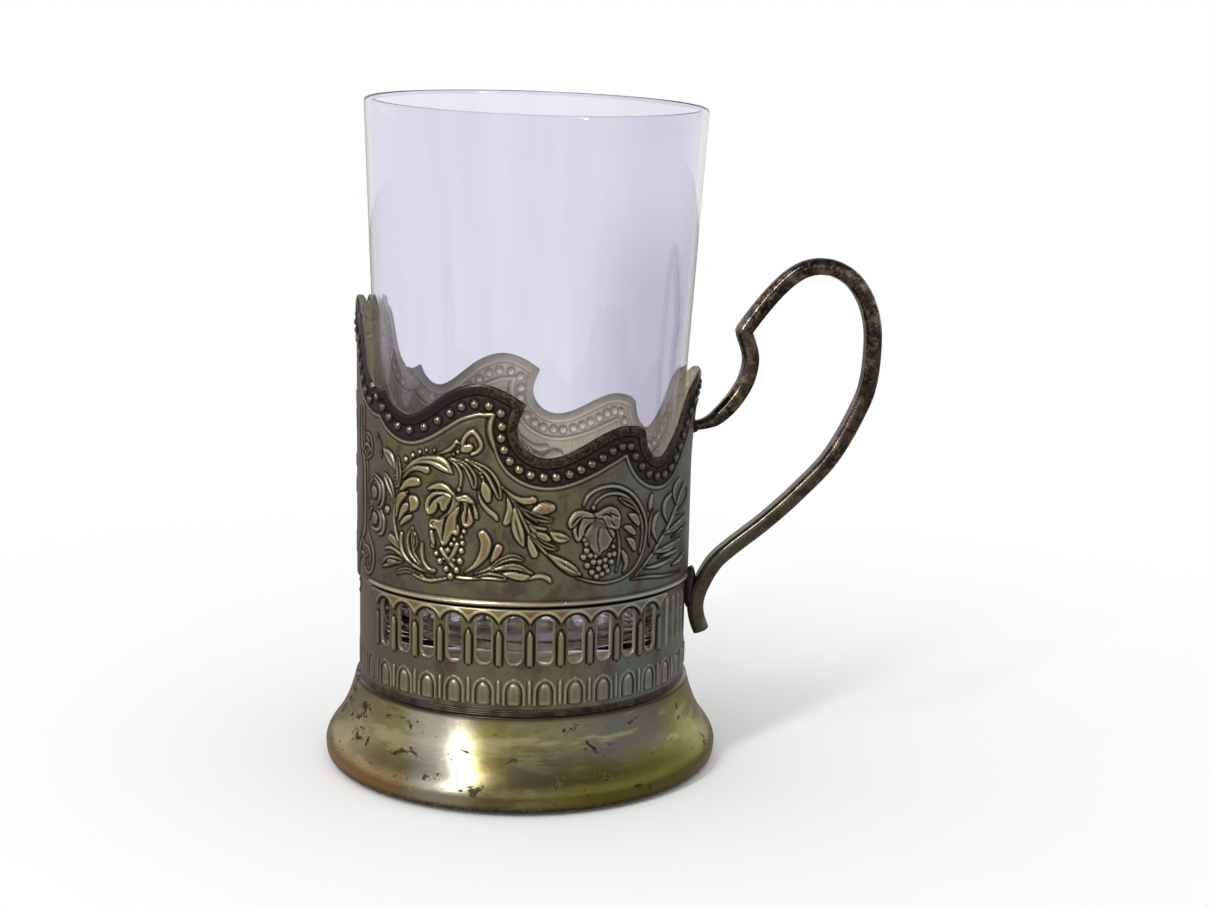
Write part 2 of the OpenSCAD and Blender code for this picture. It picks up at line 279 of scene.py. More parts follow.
def paintRoom():
    # white to the camera, even for light, and stops of grey for what the metal mirrors
    world = bpy.data.worlds.new("room")
    bpy.context.scene.world = world
    world.use_nodes = True
    air = Recipe("room", world.node_tree)
    spot = air.add("ShaderNodeTexCoord", {}, {}, "Generated")
    up = air.add("ShaderNodeSeparateXYZ", {}, {"Vector": spot}, "Z")
    room = air.add("ShaderNodeValToRGB", {"stops": studio["mirrored"]}, {"Fac": up * 0.5 + 0.5})
    for way, begins, full, share in studio["walls"]:
        facing = air.add("ShaderNodeVectorMath", {"operation": "DOT_PRODUCT"},
                         {0: spot, 1: way}, "Value")
        room = air.blend(facing.between(begins, full) * share, room, studio["wallMirrored"])
    plain = air.blend(air.ray("Glossy"), studio["room"], room)
    seen = (air.ray("Camera") + air.ray("Transmission")).clamped()
    shine = air.add("ShaderNodeBackground", {},
                    {"Color": air.blend(seen, plain, (1, 1, 1)), "Strength": 1.0})
    air.add("ShaderNodeOutputWorld", {}, {"Surface": shine})


def layFloor():
    # its shadow fades to the plain white backdrop with the distance
    bm = bmesh.new()
    bmesh.ops.create_grid(bm, x_segments=1, y_segments=1, size=studio["floorSize"])
    mesh = bpy.data.meshes.new("floor")
    bm.to_mesh(mesh)
    bm.free()
    floor = bpy.data.objects.new("floor", mesh)
    floor.location = (0, 0, -studio["floorDrop"])
    bpy.context.scene.collection.objects.link(floor)
    card = Recipe("paper")
    spot = card.add("ShaderNodeTexCoord", {}, {}, "Object")
    away = card.add("ShaderNodeVectorMath", {"operation": "LENGTH"}, {0: spot}, "Value")
    seen = (card.ray("Camera") + card.ray("Transmission")).clamped()
    paper = card.add("ShaderNodeBsdfDiffuse", {}, {"Color": studio["floor"]})
    white = card.add("ShaderNodeEmission", {}, {"Color": (1, 1, 1), "Strength": 1.0})
    share = away.between(studio["plainFrom"], studio["plainTo"]) * seen
    both = card.add("ShaderNodeMixShader", {}, {0: share, 1: paper, 2: white})
    table = card.add("ShaderNodeEmission", {}, {"Color": studio["tableMirrored"], "Strength": 1.0})
    mirrored = card.ray("Glossy") * card.ray("Reflection")
    both = card.add("ShaderNodeMixShader", {}, {0: mirrored, 1: both, 2: table})
    card.add("ShaderNodeOutputMaterial", {}, {"Surface": both})
    mesh.materials.append(card.material)


bpy.context.scene.view_settings.view_transform = "Standard"
placeCamera()
hangWindow()
paintRoom()
layFloor()
print("camera, lamps and floor are up")


# the sleeve, drawn flat as the sheet was before it was rolled

sleeve = {
    "bottom": 19.7, "skirt": 18.75, "height": 77.3, "sheet": 0.7,
    "radius": 35.2,          # the flat drawing is rolled to this
    "plain": 34.9, "drum": 34.35,    # outer radius above and below the moulding
    "mould": 39.9, "mouldHalf": 0.38, "mouldRise": 0.5,
    "mesh": 0.24,            # spacing of the mesh
    "cell": 0.1,             # spacing of the drawing
    "drawingZero": 107.76,   # the drawing's zero, measured round from the handle
    "relief": 0.44, "lineOut": 0.27, "lineIn": 0.12,
    "rollWide": 2.0, "rollRise": 0.26, "ridgeHalf": 0.24, "ridgeRise": 0.3, "rimReach": 7.0,
    "beadLine": 3.6, "beadPitch": 2.6, "beadSize": 0.86, "beadRise": 0.6,
    "flare": 1.4, "flareFrom": 62, "flareTo": 86,    # the peak by the handle leans out
    "fadeFrom": 86, "fadeTo": 92,    # the relief is fainter close to the handle
    "pitch": 10 * math.pi / 180 * 35.2, "firstSlot": 4, "lastSlot": 14,
    "slotFrom": 27.95, "slotTo": 37.45, "slotHalf": 1.56,
    "splitLow": 38.95, "splitRound": 45.6,    # where its pieces meet
    "mouldFrom": 6.5, "shieldHalf": 17.3,     # the moulding stops short of handle and shield
    # how wear, painted highlight and painted shade are read off the relief: widths of blur, and the
    # steps that count in full
    "wearBlur": 1.1, "wearStep": 0.3, "deepStep": 0.25, "crestBlur": 0.35, "crestStep": 0.1,
    "lineBlur": 0.08, "innerBlur": 0.1, "innerShare": 1.35,
}
halfRound = math.pi * sleeve["radius"]

arcade = {
    "top": 39.2,
    # the band cut into bows
    "bowUp": 34.7, "bow": 3.2, "bandFrom": 35.6, "bandTo": 39.0, "bandRise": 0.32, "bandEdge": 0.16,
    # the pointed ribs between the slots
    "ribFrom": 27.5, "ribTo": 34.5, "ribHalf": 0.6, "ribPoint": 1.3, "ribRise": 0.55,
    # the flutes where the arcade is blind
    "fluteFrom": 9, "fluteTo": 30, "fluteRise": 0.3,
    # the lower row: arches, cushions and pins
    "rowFrom": 19.9, "spring": 22.1, "apex": 24.8, "archHalf": 1.98, "archRise": 0.26,
    "padFrom": 19.95, "padSpring": 21.9, "padUp": 2.1, "padTo": 24.0, "padHalf": 1.24,
    "padRise": 0.26,
    "pinHalf": 0.3, "pinPoint": 0.8, "pinRise": 0.34,
}

# the wavy rim: angle from the handle in degrees, share of the sleeve's height
rimRuns = [
    [(0, .811), (9, .811), (17, .779), (22.5, .735), (27.5, .683), (32, .645), (36, .618),
     (39, .612), (42, .622), (44.3, .645), (45.4, .683)],
    [(45.4, .683), (48, .695), (53, .7), (58, .695), (64, .676), (70, .652), (76, .632),
     (81, .627), (85, .636), (88, .656), (89.6, .683), (89.5, .712), (87.2, .757)],
    [(87.2, .757), (92, .782), (97.5, .8), (102.5, .805), (107.5, .797), (112.5, .78),
     (117.5, .754), (122.5, .729), (127.5, .716), (132.5, .727), (136, .752), (138, .778)],
    [(138, .778), (142, .77), (146, .778), (149.5, .8), (152, .832), (154, .873),
     (155.8, .915), (158, .946), (160.6, .953)],
    [(160.6, .950), (161.4, .970), (164, .984), (167, .982), (169, .945)],
    [(169, .945), (171, .966), (175, .985), (180, .991)],
]

# the beads under the rim that can be seen one by one, (across, up)
rimBeads = [
    (17.9, 79.6), (19.7, 77.6), (21.7, 75.7), (23.9, 74), (26.6, 72.6), (29.9, 72.1), (33.5, 73),
    (36.6, 74.5), (39.3, 76.1), (41.7, 77.4), (44.3, 78), (47.1, 77.8), (49.4, 76.5), (49.6, 74),
    (49.5, 71.8), (50.1, 69.6), (51.2, 67.5), (53, 65.9), (55.2, 64.9), (57.7, 64.5), (60.1, 64.5),
    (62.7, 65), (65, 65.8), (67.2, 66.8), (69.5, 67.9), (71.7, 69.1), (73.8, 69.8), (75.8, 69.7),
    (77.1, 67.7), (78.9, 65.6), (80.9, 63.9), (83.4, 63.2), (85.9, 63.3), (88.3, 64.3), (90.3, 66),
    (92.2, 68), (93.9, 70.2), (95.7, 72.4), (97.6, 74.6), (99.7, 76.5), (101.9, 78), (104.3, 79.1),
    (106.7, 79.8),
]

# how far the thin ridge runs from the edge: (round from the handle, distance)
ridgeRun = [(0, 6.2), (20, 6.2), (30, 6), (33, 5.8), (34.5, 6.2), (38, 6.2), (44, 5.85),
            (52, 5.75), (57, 5.6), (58.6, 5.3), (59.5, 4.9), (60.2, 5.1), (61.5, 5.7), (64, 5.9),
            (67, 5.7), (72, 5.5), (83, 5.3), (90, 5.4), (112, 5.6)]

# the stamped vine, from left to right on the side that faces the camera: what it is, its share
# of the relief's height, and points of (across, up, half width). A plate has corners of
# (across, up) instead, and a vein is cut into what was drawn before it.
vine = [
    # wreath and leaves round the first bunch
    ("rib", .8, [(29.5, 60, .2), (27.2, 59.2, .35), (25.9, 57, .35), (25.6, 54, .35),
        (26.3, 51.3, .35), (27.6, 48.6, .35), (29.6, 46.6, .35), (32.6, 45.3, .3), (36, 44.9, .2)]),
    ("petal", .9, [(26.3, 54.8, .2), (26.8, 57.3, .5), (27.8, 58.9, .75), (28.8, 59.5, .5)]),
    ("petal", .9, [(27.1, 54.2, .2), (28, 55.9, .6), (28.8, 56.9, .8), (29.3, 57.5, .45)]),
    ("petal", .9, [(27.4, 53.2, .2), (28.8, 54.5, .55), (30.2, 55.3, .45)]),
    ("petal", 1, [(30.5, 56.6, .35), (31.1, 57.5, .95), (31.2, 58.3, 1.2), (30.6, 58.8, .8)]),
    ("petal", 1, [(27.7, 60.3, .3), (29.3, 61.6, .7), (30.9, 62.2, .95), (32, 62.3, .8)]),
    ("petal", .9, [(28.2, 62.6, .2), (30.2, 64.4, .4), (32.2, 65, .5), (34.2, 64.8, .75)]),
    ("leaf", 1, [(28.3, 63.7, .2), (31.5, 66.1, .5), (35, 66.8, .85), (37.8, 66.2, 1.25),
        (40, 64.6, .15)]),
    ("rib", .8, [(39.2, 67.3, .25), (40.8, 66.2, .3), (41.7, 64.5, .35), (41.6, 62.6, .3),
        (41.2, 61.8, .3)]),
    ("balls", .8, [(41.3, 61.6, .5)]),
    ("loop", .9, [(39.6, 67.5, .2), (42.4, 66.4, .55), (44, 64.3, .8), (44.4, 62.4, .5)]),
    ("loop", .9, [(42.6, 67.5, .25), (46.6, 65.6, .75), (48.5, 63, .95), (49.3, 60.6, .5)]),
    ("balls", .6, [(45.6, 65, .35), (45.9, 64.3, .35), (46.2, 63.6, .35)]),
    ("petal", 1, [(46.3, 63, .5), (46.7, 61.6, 1), (47.1, 60.1, .65)]),
    ("petal", .8, [(45.2, 61.6, .15), (45.8, 59.6, .35), (47.2, 58, .5), (48.4, 57.1, .5),
        (48.9, 56.3, .35)]),
    ("balls", .8, [(28.9, 66.3, .6), (30.8, 67.3, .52)]), ("balls", .7, [(32.5, 68.1, .46)]),
    ("balls", .6, [(34.1, 68.6, .38), (35.9, 68.7, .32)]),
    ("loop", .8, [(26.8, 60.8, .3), (27, 63.4, .75), (26.7, 66.1, .5)]),
    ("balls", .6, [(25.9, 62.7, .36), (26, 62, .36), (26, 61.3, .36), (26.1, 60.6, .3)]),
    ("leaf", .8, [(22.2, 67.6, .2), (24.2, 66.2, 1.15), (26, 64, .2)]),
    ("loop", .8, [(22.8, 62.3, .7), (24.2, 60.6, .95), (25.7, 57.8, .3)]),
    ("loop", .7, [(19.6, 70, .3), (20.8, 68, .6), (21.2, 66, .25)]),
    ("balls", .8, [(23.3, 55.7, .85)]),
    # two rosettes beside the frame
    ("balls", .9, [(18.3, 58.4, 1.35)]),
    ("rib", .8, [(18.6, 61.3, .3), (20.3, 60.3, .45), (20.9, 58.4, .45), (20, 56.5, .3)]),
    ("rib", .8, [(19, 62, .3), (21.4, 60.9, .4), (22.2, 58.4, .45), (21.2, 56, .4),
        (19.4, 55.4, .2)]),
    ("rib", .7, [(18, 61.1, .25), (16.4, 60, .35), (15.9, 58.4, .35), (16.5, 56.9, .25)]),
    ("balls", .9, [(18.5, 53.2, 1.3)]),
    ("rib", .8, [(20, 55, .25), (21.2, 53.6, .45), (20.8, 51.7, .5), (19, 50.9, .4),
        (17.2, 51.2, .3)]),
    ("rib", .8, [(21, 55.4, .25), (22.3, 53.4, .4), (21.8, 51, .45), (20.3, 50.2, .3)]),
    ("rib", .7, [(17.6, 55.2, .25), (16.3, 54.4, .35), (16, 52.8, .3)]),
    # leaves along the foot of the first bunch
    ("petal", .8, [(24.6, 50.3, .85), (25.9, 49.6, .75), (27.3, 48.5, .2)]),
    ("rib", .8, [(22.6, 47.8, .25), (24.6, 48.3, .35), (27, 47.7, .35), (29.6, 46.3, .25)]),
    ("loop", .8, [(21.4, 44.2, .4), (23, 45.2, 1), (25.3, 45.9, 1), (28, 46.2, .35)]),
    ("petal", .8, [(23.6, 45.5, .35), (24.6, 45.6, .5), (26.2, 45.8, .25)]),
    ("loop", .8, [(26.6, 43.7, .45), (28.8, 44.5, .55), (31.5, 44.4, .4), (33.5, 43.9, .3)]),
    ("rib", .9, [(31, 44, .25), (33, 43.5, .35), (35.5, 43.4, .38), (38.8, 44.2, .25)]),
    ("loop", .9, [(30.8, 53.1, .3), (30.1, 51, .9), (30.5, 48.6, .85), (32.1, 46.7, .55),
        (34.6, 45.4, .25)]),
    ("loop", .8, [(31.4, 52.2, .25), (31.6, 50.4, .6), (31, 48.6, .3)]),
    ("rib", .8, [(27.8, 51.6, .45), (27.7, 49.6, .4), (28.5, 47.6, .35), (30.4, 46.1, .25)]),
    ("petal", 1, [(33.2, 50.3, .3), (33.2, 48.4, .42), (33.7, 46.8, .32), (35, 45.6, .3),
        (36.2, 45.4, .32)]),
    ("petal", 1, [(42.5, 45.6, .15), (44.8, 47.3, .5), (46.4, 49.6, .95), (46.8, 51.7, 1.1),
        (46.2, 53.2, .95)]),
    ("petal", .9, [(47.9, 48.2, .25), (48.8, 49.7, .7), (49.3, 50.8, .8)]),
    # the first grape leaf: its lobes, and the veins cut into them
    ("plate", 1, [(34.3, 61.2), (35.2, 61.9), (36.5, 62.5), (37.7, 62.6), (39, 62.2), (40, 61.4),
        (40.9, 60.4), (40.5, 59.8), (39.8, 60.4), (39, 61), (38.1, 61.3), (36.9, 61.3),
        (35.8, 61.2), (34.9, 60.9)]),
    ("plate", 1, [(35.9, 60.8), (35.1, 60.2), (34.4, 59.6), (33.9, 58.5), (33.8, 57.5),
        (34.2, 56.5), (34.9, 56.2), (35.9, 56.5), (36.5, 57.2), (36.8, 58), (37.2, 58.5),
        (37.4, 57.6), (37.8, 57.1), (38.6, 57.4), (39, 58.3), (39.8, 59.6), (40.1, 60.2),
        (39.2, 60.8), (37.7, 60.9)]),
    ("vein", 1, [(38.2, 60.4, .12), (36.8, 60, .32), (35.6, 59.2, .42), (35, 58.2, .3),
        (34.7, 57.4, .15)]),
    ("vein", 1, [(36.9, 58.9, .1), (36.8, 58.1, .2), (36.9, 57.4, .2)]),
    ("plate", .8, [(40.1, 60.2), (41.1, 60.3), (41.7, 59.4), (41.1, 58.4), (40.2, 57),
        (39.2, 56.2), (37.9, 55.6), (37.1, 55.8), (38.6, 56.8), (39.5, 58.1), (39.8, 59.1)]),
    ("plate", 1.1, [(34.9, 54.9), (35.3, 55.4), (36.1, 55.6), (37.1, 55.5), (37.9, 55.8),
        (38.9, 56.3), (40.2, 57.4), (41.1, 58.4), (41.5, 58.4), (41.3, 57.1), (40.9, 56.2),
        (41.1, 55), (41.5, 54.5), (41.5, 53.8), (41.3, 52.9), (40.7, 52.7), (40, 52.9),
        (39.7, 52.3), (39.1, 51.2), (38.5, 50.6), (38.1, 50.4), (37.6, 50.8), (37.1, 52),
        (36.6, 53.3), (36.2, 53.6), (35.4, 53.5), (34.9, 54.1)]),
    ("vein", 1, [(39.1, 56.5, .2), (38.6, 55.7, .3), (38.3, 54.8, .32), (38.1, 53.6, .3),
        (37.9, 52.4, .26), (37.9, 51.4, .15)]),
    ("vein", 1, [(41.1, 55.9, .15), (40.9, 55, .22), (40.8, 53.8, .18)]),
    ("vein", 1, [(36, 55.1, .12), (35.5, 54.7, .16), (35.7, 54.2, .14)]),
    ("plate", 1.05, [(40.8, 60.2), (41.7, 60.5), (42.6, 60.8), (43.4, 60.5), (44.2, 59.9),
        (44.8, 59.1), (44.6, 58.8), (44, 59), (43.2, 59.2), (42, 59.3), (41.1, 59.4)]),
    ("petal", 1, [(44.3, 58.9, .25), (44.7, 57.7, .4), (44.9, 56.5, .42)]),
    ("plate", 1, [(41.9, 59.2), (42.3, 58.8), (42.3, 57.9), (41.9, 57), (41.8, 56), (42, 55),
        (42.4, 54.5), (43, 54.4), (43.8, 54.8), (44.3, 55.7), (44.1, 56.7), (43.7, 57.8),
        (43.2, 58.9), (42.9, 59.2)]),
    ("vein", 1, [(42.8, 58.9, .12), (43.1, 58.1, .26), (43, 57.1, .28), (42.9, 56, .26),
        (42.8, 55.2, .15)]),
    # the first bunch
    ("balls", .9, [(42.4, 53.6, .5)]), ("balls", .8, [(41.9, 52.5, .42)]),
    ("balls", .9, [(42.1, 51.3, .55)]),
    ("balls", 1, [(41.9, 49.8, .62), (41.6, 47.8, .68), (40.9, 46, .66), (39.6, 44.7, .7),
        (38.7, 46, .62), (37.3, 47.4, .66), (36.5, 48.8, .58), (35.7, 50.3, .6)]),
    ("balls", .9, [(39, 49.7, .6), (39.8, 50.9, .5)]), ("balls", .8, [(40.4, 51.9, .42)]),
    ("balls", .9, [(35.3, 52.8, .5)]),
    ("rib", .9, [(35.4, 53, .4), (35.6, 51.6, .5), (36, 50.8, .3)]),
    ("rib", .9, [(37.6, 49.8, .5), (38.8, 48.2, .5), (40.2, 46.7, .45)]),
    ("rib", .9, [(41, 51, .5), (40.4, 49.5, .48), (39.5, 48, .4)]),
    ("balls", .8, [(40.3, 47.9, .45), (38.2, 48, .4)]),
    # drop and tendrils above
    ("rib", .95, [(42.2, 69, .3), (42, 70.6, .4), (42.9, 72.2, .45), (44.1, 72.8, .5),
        (45.2, 71.6, .45), (45.7, 70.2, .4), (45, 69.1, .4), (43.8, 68.5, .35)]),
    ("petal", .9, [(42, 69.3, .5), (43, 69.6, .8), (43.7, 69.9, .5)]),
    ("rib", .8, [(36.6, 68, .15), (39, 69, .35), (40.2, 70, .35), (40.7, 70.8, .35),
        (41.4, 70.4, .2)]),
    ("balls", .6, [(41, 68.8, .4), (40.1, 68.3, .3)]),
    # leaves to the right of the first bunch
    ("loop", .9, [(44.5, 45.5, .15), (47.2, 46.6, .3), (49.8, 48.4, .5), (52, 49.1, .62),
        (53.7, 48.7, .4)]),
    ("leaf", .85, [(47.4, 46.3, .15), (50.4, 47.1, .45), (53, 47.2, .6), (55.8, 46, .2)]),
    ("petal", 1, [(50.2, 45.9, .2), (52.2, 45.6, .7), (54, 45.3, .7), (55.2, 45.4, .3)]),
    ("loop", .9, [(44.4, 44.8, .25), (47.6, 45.3, .7), (50.3, 45, .55)]),
    ("petal", .9, [(55.2, 44.9, .2), (56.4, 45.4, .4), (57.6, 45.5, .45), (58.8, 45, .5),
        (59.2, 44.4, .35)]),
    ("rib", .8, [(41, 44.6, .3), (43, 44.6, .35), (45.5, 44.7, .2)]),
    # the long spray
    ("rib", .75, [(49.8, 62.6, .25), (51.5, 60.6, .3), (53, 58.1, .3), (54.3, 55.4, .3),
        (55.6, 53, .3), (57.5, 50.8, .3), (59.5, 48.8, .3), (61.5, 46.9, .3), (63.4, 45.7, .3),
        (65.3, 45.4, .2)]),
    ("petal", 1, [(50.3, 62.3, .15), (52.2, 60.7, .4), (54.2, 60, .65), (55.8, 60.2, .65)]),
    ("bud", 1, [(56.3, 58.1, .8), (57.9, 58.6, 1.25), (59.2, 58.7, .9)]),
    ("loop", .85, [(53.6, 58.7, .2), (55.8, 57.2, .55), (57.8, 56.5, .6), (59.2, 56.3, .4)]),
    ("rib", .7, [(52.3, 59.9, .15), (54.4, 57.5, .25), (56.6, 56, .2)]),
    ("petal", 1, [(50.8, 60.7, .15), (51.3, 58.4, .6), (51, 56.5, .75), (50.5, 55.7, .5)]),
    ("leaf", 1, [(52.3, 58.6, .2), (52.5, 56, .85), (53.1, 53.6, 1.05), (54, 51.3, .2)]),
    ("petal", 1, [(54.9, 53.4, .15), (55.4, 51.4, .65), (56.1, 49.8, .75)]),
    ("rib", .8, [(54.3, 56.4, .2), (56, 55.1, .3), (58.1, 54.6, .35)]),
    ("petal", .9, [(55.1, 55.3, .2), (56, 54.3, .4), (56.7, 53.7, .3)]),
    ("petal", 1, [(56.6, 53.8, .35), (57.8, 53.2, .75), (58.9, 52.6, .4)]),
    ("leaf", 1, [(59.3, 53.8, .3), (60.9, 52.9, 1.05), (62.8, 52.6, .2)]),
    ("loop", .85, [(55.5, 53.8, .2), (57.4, 52, .5), (59.2, 51.1, .6), (60.4, 50.8, .35)]),
    ("leaf", 1, [(58.9, 49.7, .25), (61.2, 48.1, .85), (63.3, 46.8, .85), (65.3, 45.5, .12)]),
    # the second grape leaf
    ("plate", .8, [(67.8, 56.5), (68.9, 56.2), (69.7, 56), (70.3, 55.2), (71.1, 54.3),
        (71.9, 53.9), (72.6, 52.8), (72.1, 52), (71.5, 51.1), (70.9, 50.2), (69.9, 49.7),
        (69.3, 49), (68.5, 48.8), (67.7, 49.9), (66.8, 51), (66.1, 52.2), (65.6, 53.3),
        (66.1, 54.4), (67, 55.4)]),
    ("plate", .9, [(65.7, 56.6), (64.7, 56), (64, 55.1), (63.5, 54.2), (63.6, 53.4), (64, 52.4),
        (64.5, 51.9), (65.2, 52.3), (65.7, 53.3), (66.1, 54.4), (67.2, 55.4), (67.8, 55.9),
        (67.8, 56.4), (66.4, 56.5)]),
    ("vein", 1, [(65.2, 56.1, .12), (64.8, 55.4, .32), (64.5, 54.5, .34), (64.5, 53.5, .26),
        (64.6, 52.8, .12)]),
    ("vein", 1, [(67.2, 55.4, .14), (66.8, 55, .34), (66.3, 54.4, .34), (66, 53.6, .22)]),
    ("vein", 1, [(69.1, 54.6, .12), (68.8, 53.6, .18), (68.7, 52.6, .18), (68.7, 51.5, .18),
        (69, 50.5, .18), (69.1, 49.6, .12)]),
    ("vein", 1, [(70.4, 54.4, .12), (71, 53.5, .18), (71.6, 52.6, .22), (72.2, 51.9, .15)]),
    ("plate", 1.1, [(62.8, 54.6), (62.5, 55.4), (62.7, 56.3), (63.3, 57.3), (64.2, 58),
        (65.3, 58.1), (66.4, 57.8), (67.7, 57.2), (68.3, 56.4), (67.8, 56.4), (66.4, 56.5),
        (65.7, 56.6), (64.7, 56), (64, 55.1), (63.3, 54.6)]),
    ("vein", 1, [(65.2, 56.9, .12), (64.4, 56.5, .28), (63.7, 55.8, .3), (63.2, 55.1, .12)]),
    ("plate", 1, [(67.7, 57.2), (68.9, 57.7), (70.1, 58.3), (71.3, 58.5), (72.6, 58),
        (73.4, 57.1), (73.8, 56.2), (73.7, 55.3), (73.4, 53.8), (72.7, 53.7), (71.8, 54),
        (70.8, 54.3), (70.2, 55.2), (69.6, 56.1), (68.9, 56.2), (68.3, 56.4)]),
    ("vein", 1, [(71.1, 57.3, .12), (72, 56.8, .2), (73.1, 56.3, .16)]),
    ("vein", 1, [(71.5, 55.6, .12), (72, 54.9, .22), (72.7, 54.4, .14)]),
    ("vein", 1, [(69.5, 56.7, .12), (70.3, 57, .22), (71.2, 56.7, .24), (71.6, 56.2, .16)]),
    # the second bunch
    ("balls", .85, [(65.9, 52.2, .5), (66.3, 51.4, .55)]),
    ("balls", .9, [(66.4, 50.1, .65), (65.8, 48.9, .65), (67.2, 49.1, .62), (66.6, 47.2, .66),
        (67.9, 47.8, .64), (69.2, 47.7, .64), (70.4, 48, .6), (71.4, 48.9, .6), (72.4, 49, .62),
        (71.8, 47.5, .64), (70.5, 46.7, .6), (71, 45.8, .58), (69, 46.4, .62), (67.6, 45.8, .62),
        (68.6, 44.9, .6), (69.8, 45.3, .58)]),
    ("balls", .85, [(72.2, 50.5, .52), (68.3, 48.9, .5)]),
    # wreath and leaves of the second bunch
    ("rib", .8, [(65.6, 59, .25), (66.7, 60.9, .38), (69, 62.1, .4), (72, 62.3, .4),
        (74.6, 61.5, .38), (77, 59.9, .36), (79, 57.5, .36), (80.3, 54.7, .34), (80.4, 52, .32),
        (79.9, 49.4, .3), (78.8, 47.2, .3), (76.8, 45.1, .3), (74, 43.9, .3), (70.5, 43.5, .3),
        (67.5, 44, .28), (64.6, 44.9, .2)]),
    ("rib", .75, [(67.7, 58.7, .25), (68.7, 59.9, .32), (70.6, 60.8, .34), (73, 60.8, .34),
        (75.5, 59.7, .33), (77.9, 57.2, .33), (79.2, 54.4, .3), (79.4, 51.6, .28),
        (78.8, 48.6, .26)]),
    ("balls", .8, [(67.7, 58.4, .48)]),
    ("loop", .8, [(73.5, 59.7, .3), (75.2, 58.9, .65), (77, 57.9, .55), (78.3, 56.6, .25)]),
    ("petal", .8, [(75.9, 56.4, .3), (77.2, 55.7, .8), (78.2, 54.4, .5)]),
    ("petal", .8, [(74.8, 54.1, .3), (76, 53.6, .7), (77.2, 52.6, .45)]),
    ("petal", .8, [(75.5, 51.7, .3), (76.7, 50.8, .75), (77.3, 49.5, .45)]),
    ("petal", .8, [(74.2, 49.4, .35), (75.1, 48, .6), (75.3, 46.5, .4), (74.6, 45.2, .2)]),
    ("rib", .6, [(73, 53.6, .2), (73.6, 51, .3), (73.5, 48, .3), (73, 45.4, .2)]),
    # the right hand spray
    ("rib", .85, [(77.3, 43.6, .2), (80.1, 45.8, .3), (82.6, 47.9, .35), (85.5, 50.5, .4),
        (88.3, 53, .42), (91.1, 56, .4), (93.6, 58.9, .35), (95.4, 60.2, .25)]),
    ("petal", .9, [(79.9, 45.3, .15), (84, 45.1, .45), (89.1, 45.6, .3)]),
    ("leaf", .9, [(82.6, 48.1, .15), (85.2, 48, .5), (88.7, 48.2, .75), (93.9, 49.1, .2)]),
    ("leaf", .9, [(85.9, 51.4, .15), (88.6, 51.5, .5), (92.2, 52.1, .8), (97, 53.5, .2)]),
    ("petal", .9, [(84.1, 49.9, .15), (82.6, 52.4, .5), (83, 54.6, .6), (84, 55.8, .3)]),
    ("petal", .9, [(87.6, 53.3, .15), (86.1, 55.6, .5), (86.6, 57.6, .65), (88.6, 59, .3)]),
    ("petal", .8, [(91, 56.6, .15), (89.9, 58.6, .4), (90.6, 60.4, .5), (92.4, 61.4, .3)]),
    ("loop", .8, [(90.6, 54.7, .2), (94.2, 55, .6), (97.2, 56.4, .6), (98.2, 58.6, .3)]),
    ("petal", .8, [(81.3, 56.9, .3), (81.7, 58.3, .65), (81.9, 59.5, .4)]),
    ("rib", .7, [(81.6, 49.4, .15), (81.4, 52, .28), (81.6, 54.4, .28), (82.4, 56.4, .2)]),
    ("rib", .8, [(76.8, 43.5, .2), (81.5, 43.3, .32), (87.2, 42.6, .32), (95.1, 42.2, .2)]),
    ("petal", .8, [(84.6, 46.6, .15), (88, 46.8, .38), (91.8, 46.9, .3)]),
    ("rib", .7, [(89.6, 50, .15), (93.6, 50.7, .3), (97.8, 51.2, .2)]),
    ("petal", .8, [(90, 44.3, .2), (93.4, 44.6, .5), (96.4, 45.6, .25)]),
    # the frame round the shield opposite the handle
    ("rib", .8, [(13, 75.6, .3), (13.4, 72, .35), (12.9, 69.4, .4), (13.4, 66.6, .4),
        (15, 63.6, .35), (15.2, 60, .35), (15.2, 53, .35), (15.2, 50.2, .35), (16.4, 48.6, .35),
        (17.8, 46.6, .4), (18, 44.2, .4), (16.9, 42.2, .4), (15, 41.4, .35), (13.6, 42.6, .3),
        (13.8, 44.4, .3), (15.4, 45.2, .25)]),
    ("rib", .9, [(11, 74.6, .3), (11.4, 70, .45), (12, 66.2, .5), (13.4, 63.4, .55),
        (13.6, 60, .6), (13.6, 53, .6), (13.4, 50, .55), (11.6, 47.8, .5), (9.8, 45.6, .5),
        (8.6, 42.6, .5), (8, 40.2, .5), (7, 37.6, .45), (5, 35.8, .4), (1.6, 34.8, .4),
        (-3, 34.5, .4)]),
    ("rib", .7, [(9.2, 74.2, .3), (9.4, 70, .35), (9.8, 66, .35), (11.4, 63, .35),
        (11.6, 60, .35), (11.6, 53, .35), (11.2, 50.6, .35), (9.2, 48, .35), (7.4, 45.4, .35),
        (6.4, 42.4, .35), (5.8, 39.6, .35), (4.2, 37.8, .35), (1.2, 36.9, .35), (-3, 36.6, .35)]),
    ("loop", .8, [(14.2, 64.8, .4), (16.4, 66.2, 1.1), (16.2, 68.6, 1.1), (14.2, 69.6, .5)]),
    ("rib", .8, [(12.6, 66, .3), (14, 67.4, .4), (15.6, 67.4, .4), (16.6, 66.4, .3)]),
    ("rib", .8, [(12, 48, .3), (13.6, 46.8, .4), (15.4, 46.6, .4), (16.4, 44.8, .35),
        (15.6, 43.4, .25)]),
    ("rib", .7, [(9.8, 43.6, .3), (11.4, 45, .4), (13.2, 44.6, .35), (13.6, 43, .25)]),
    # a plain flower on the shield
    ("balls", .9, [(-2.82, 60, 1.5)]),
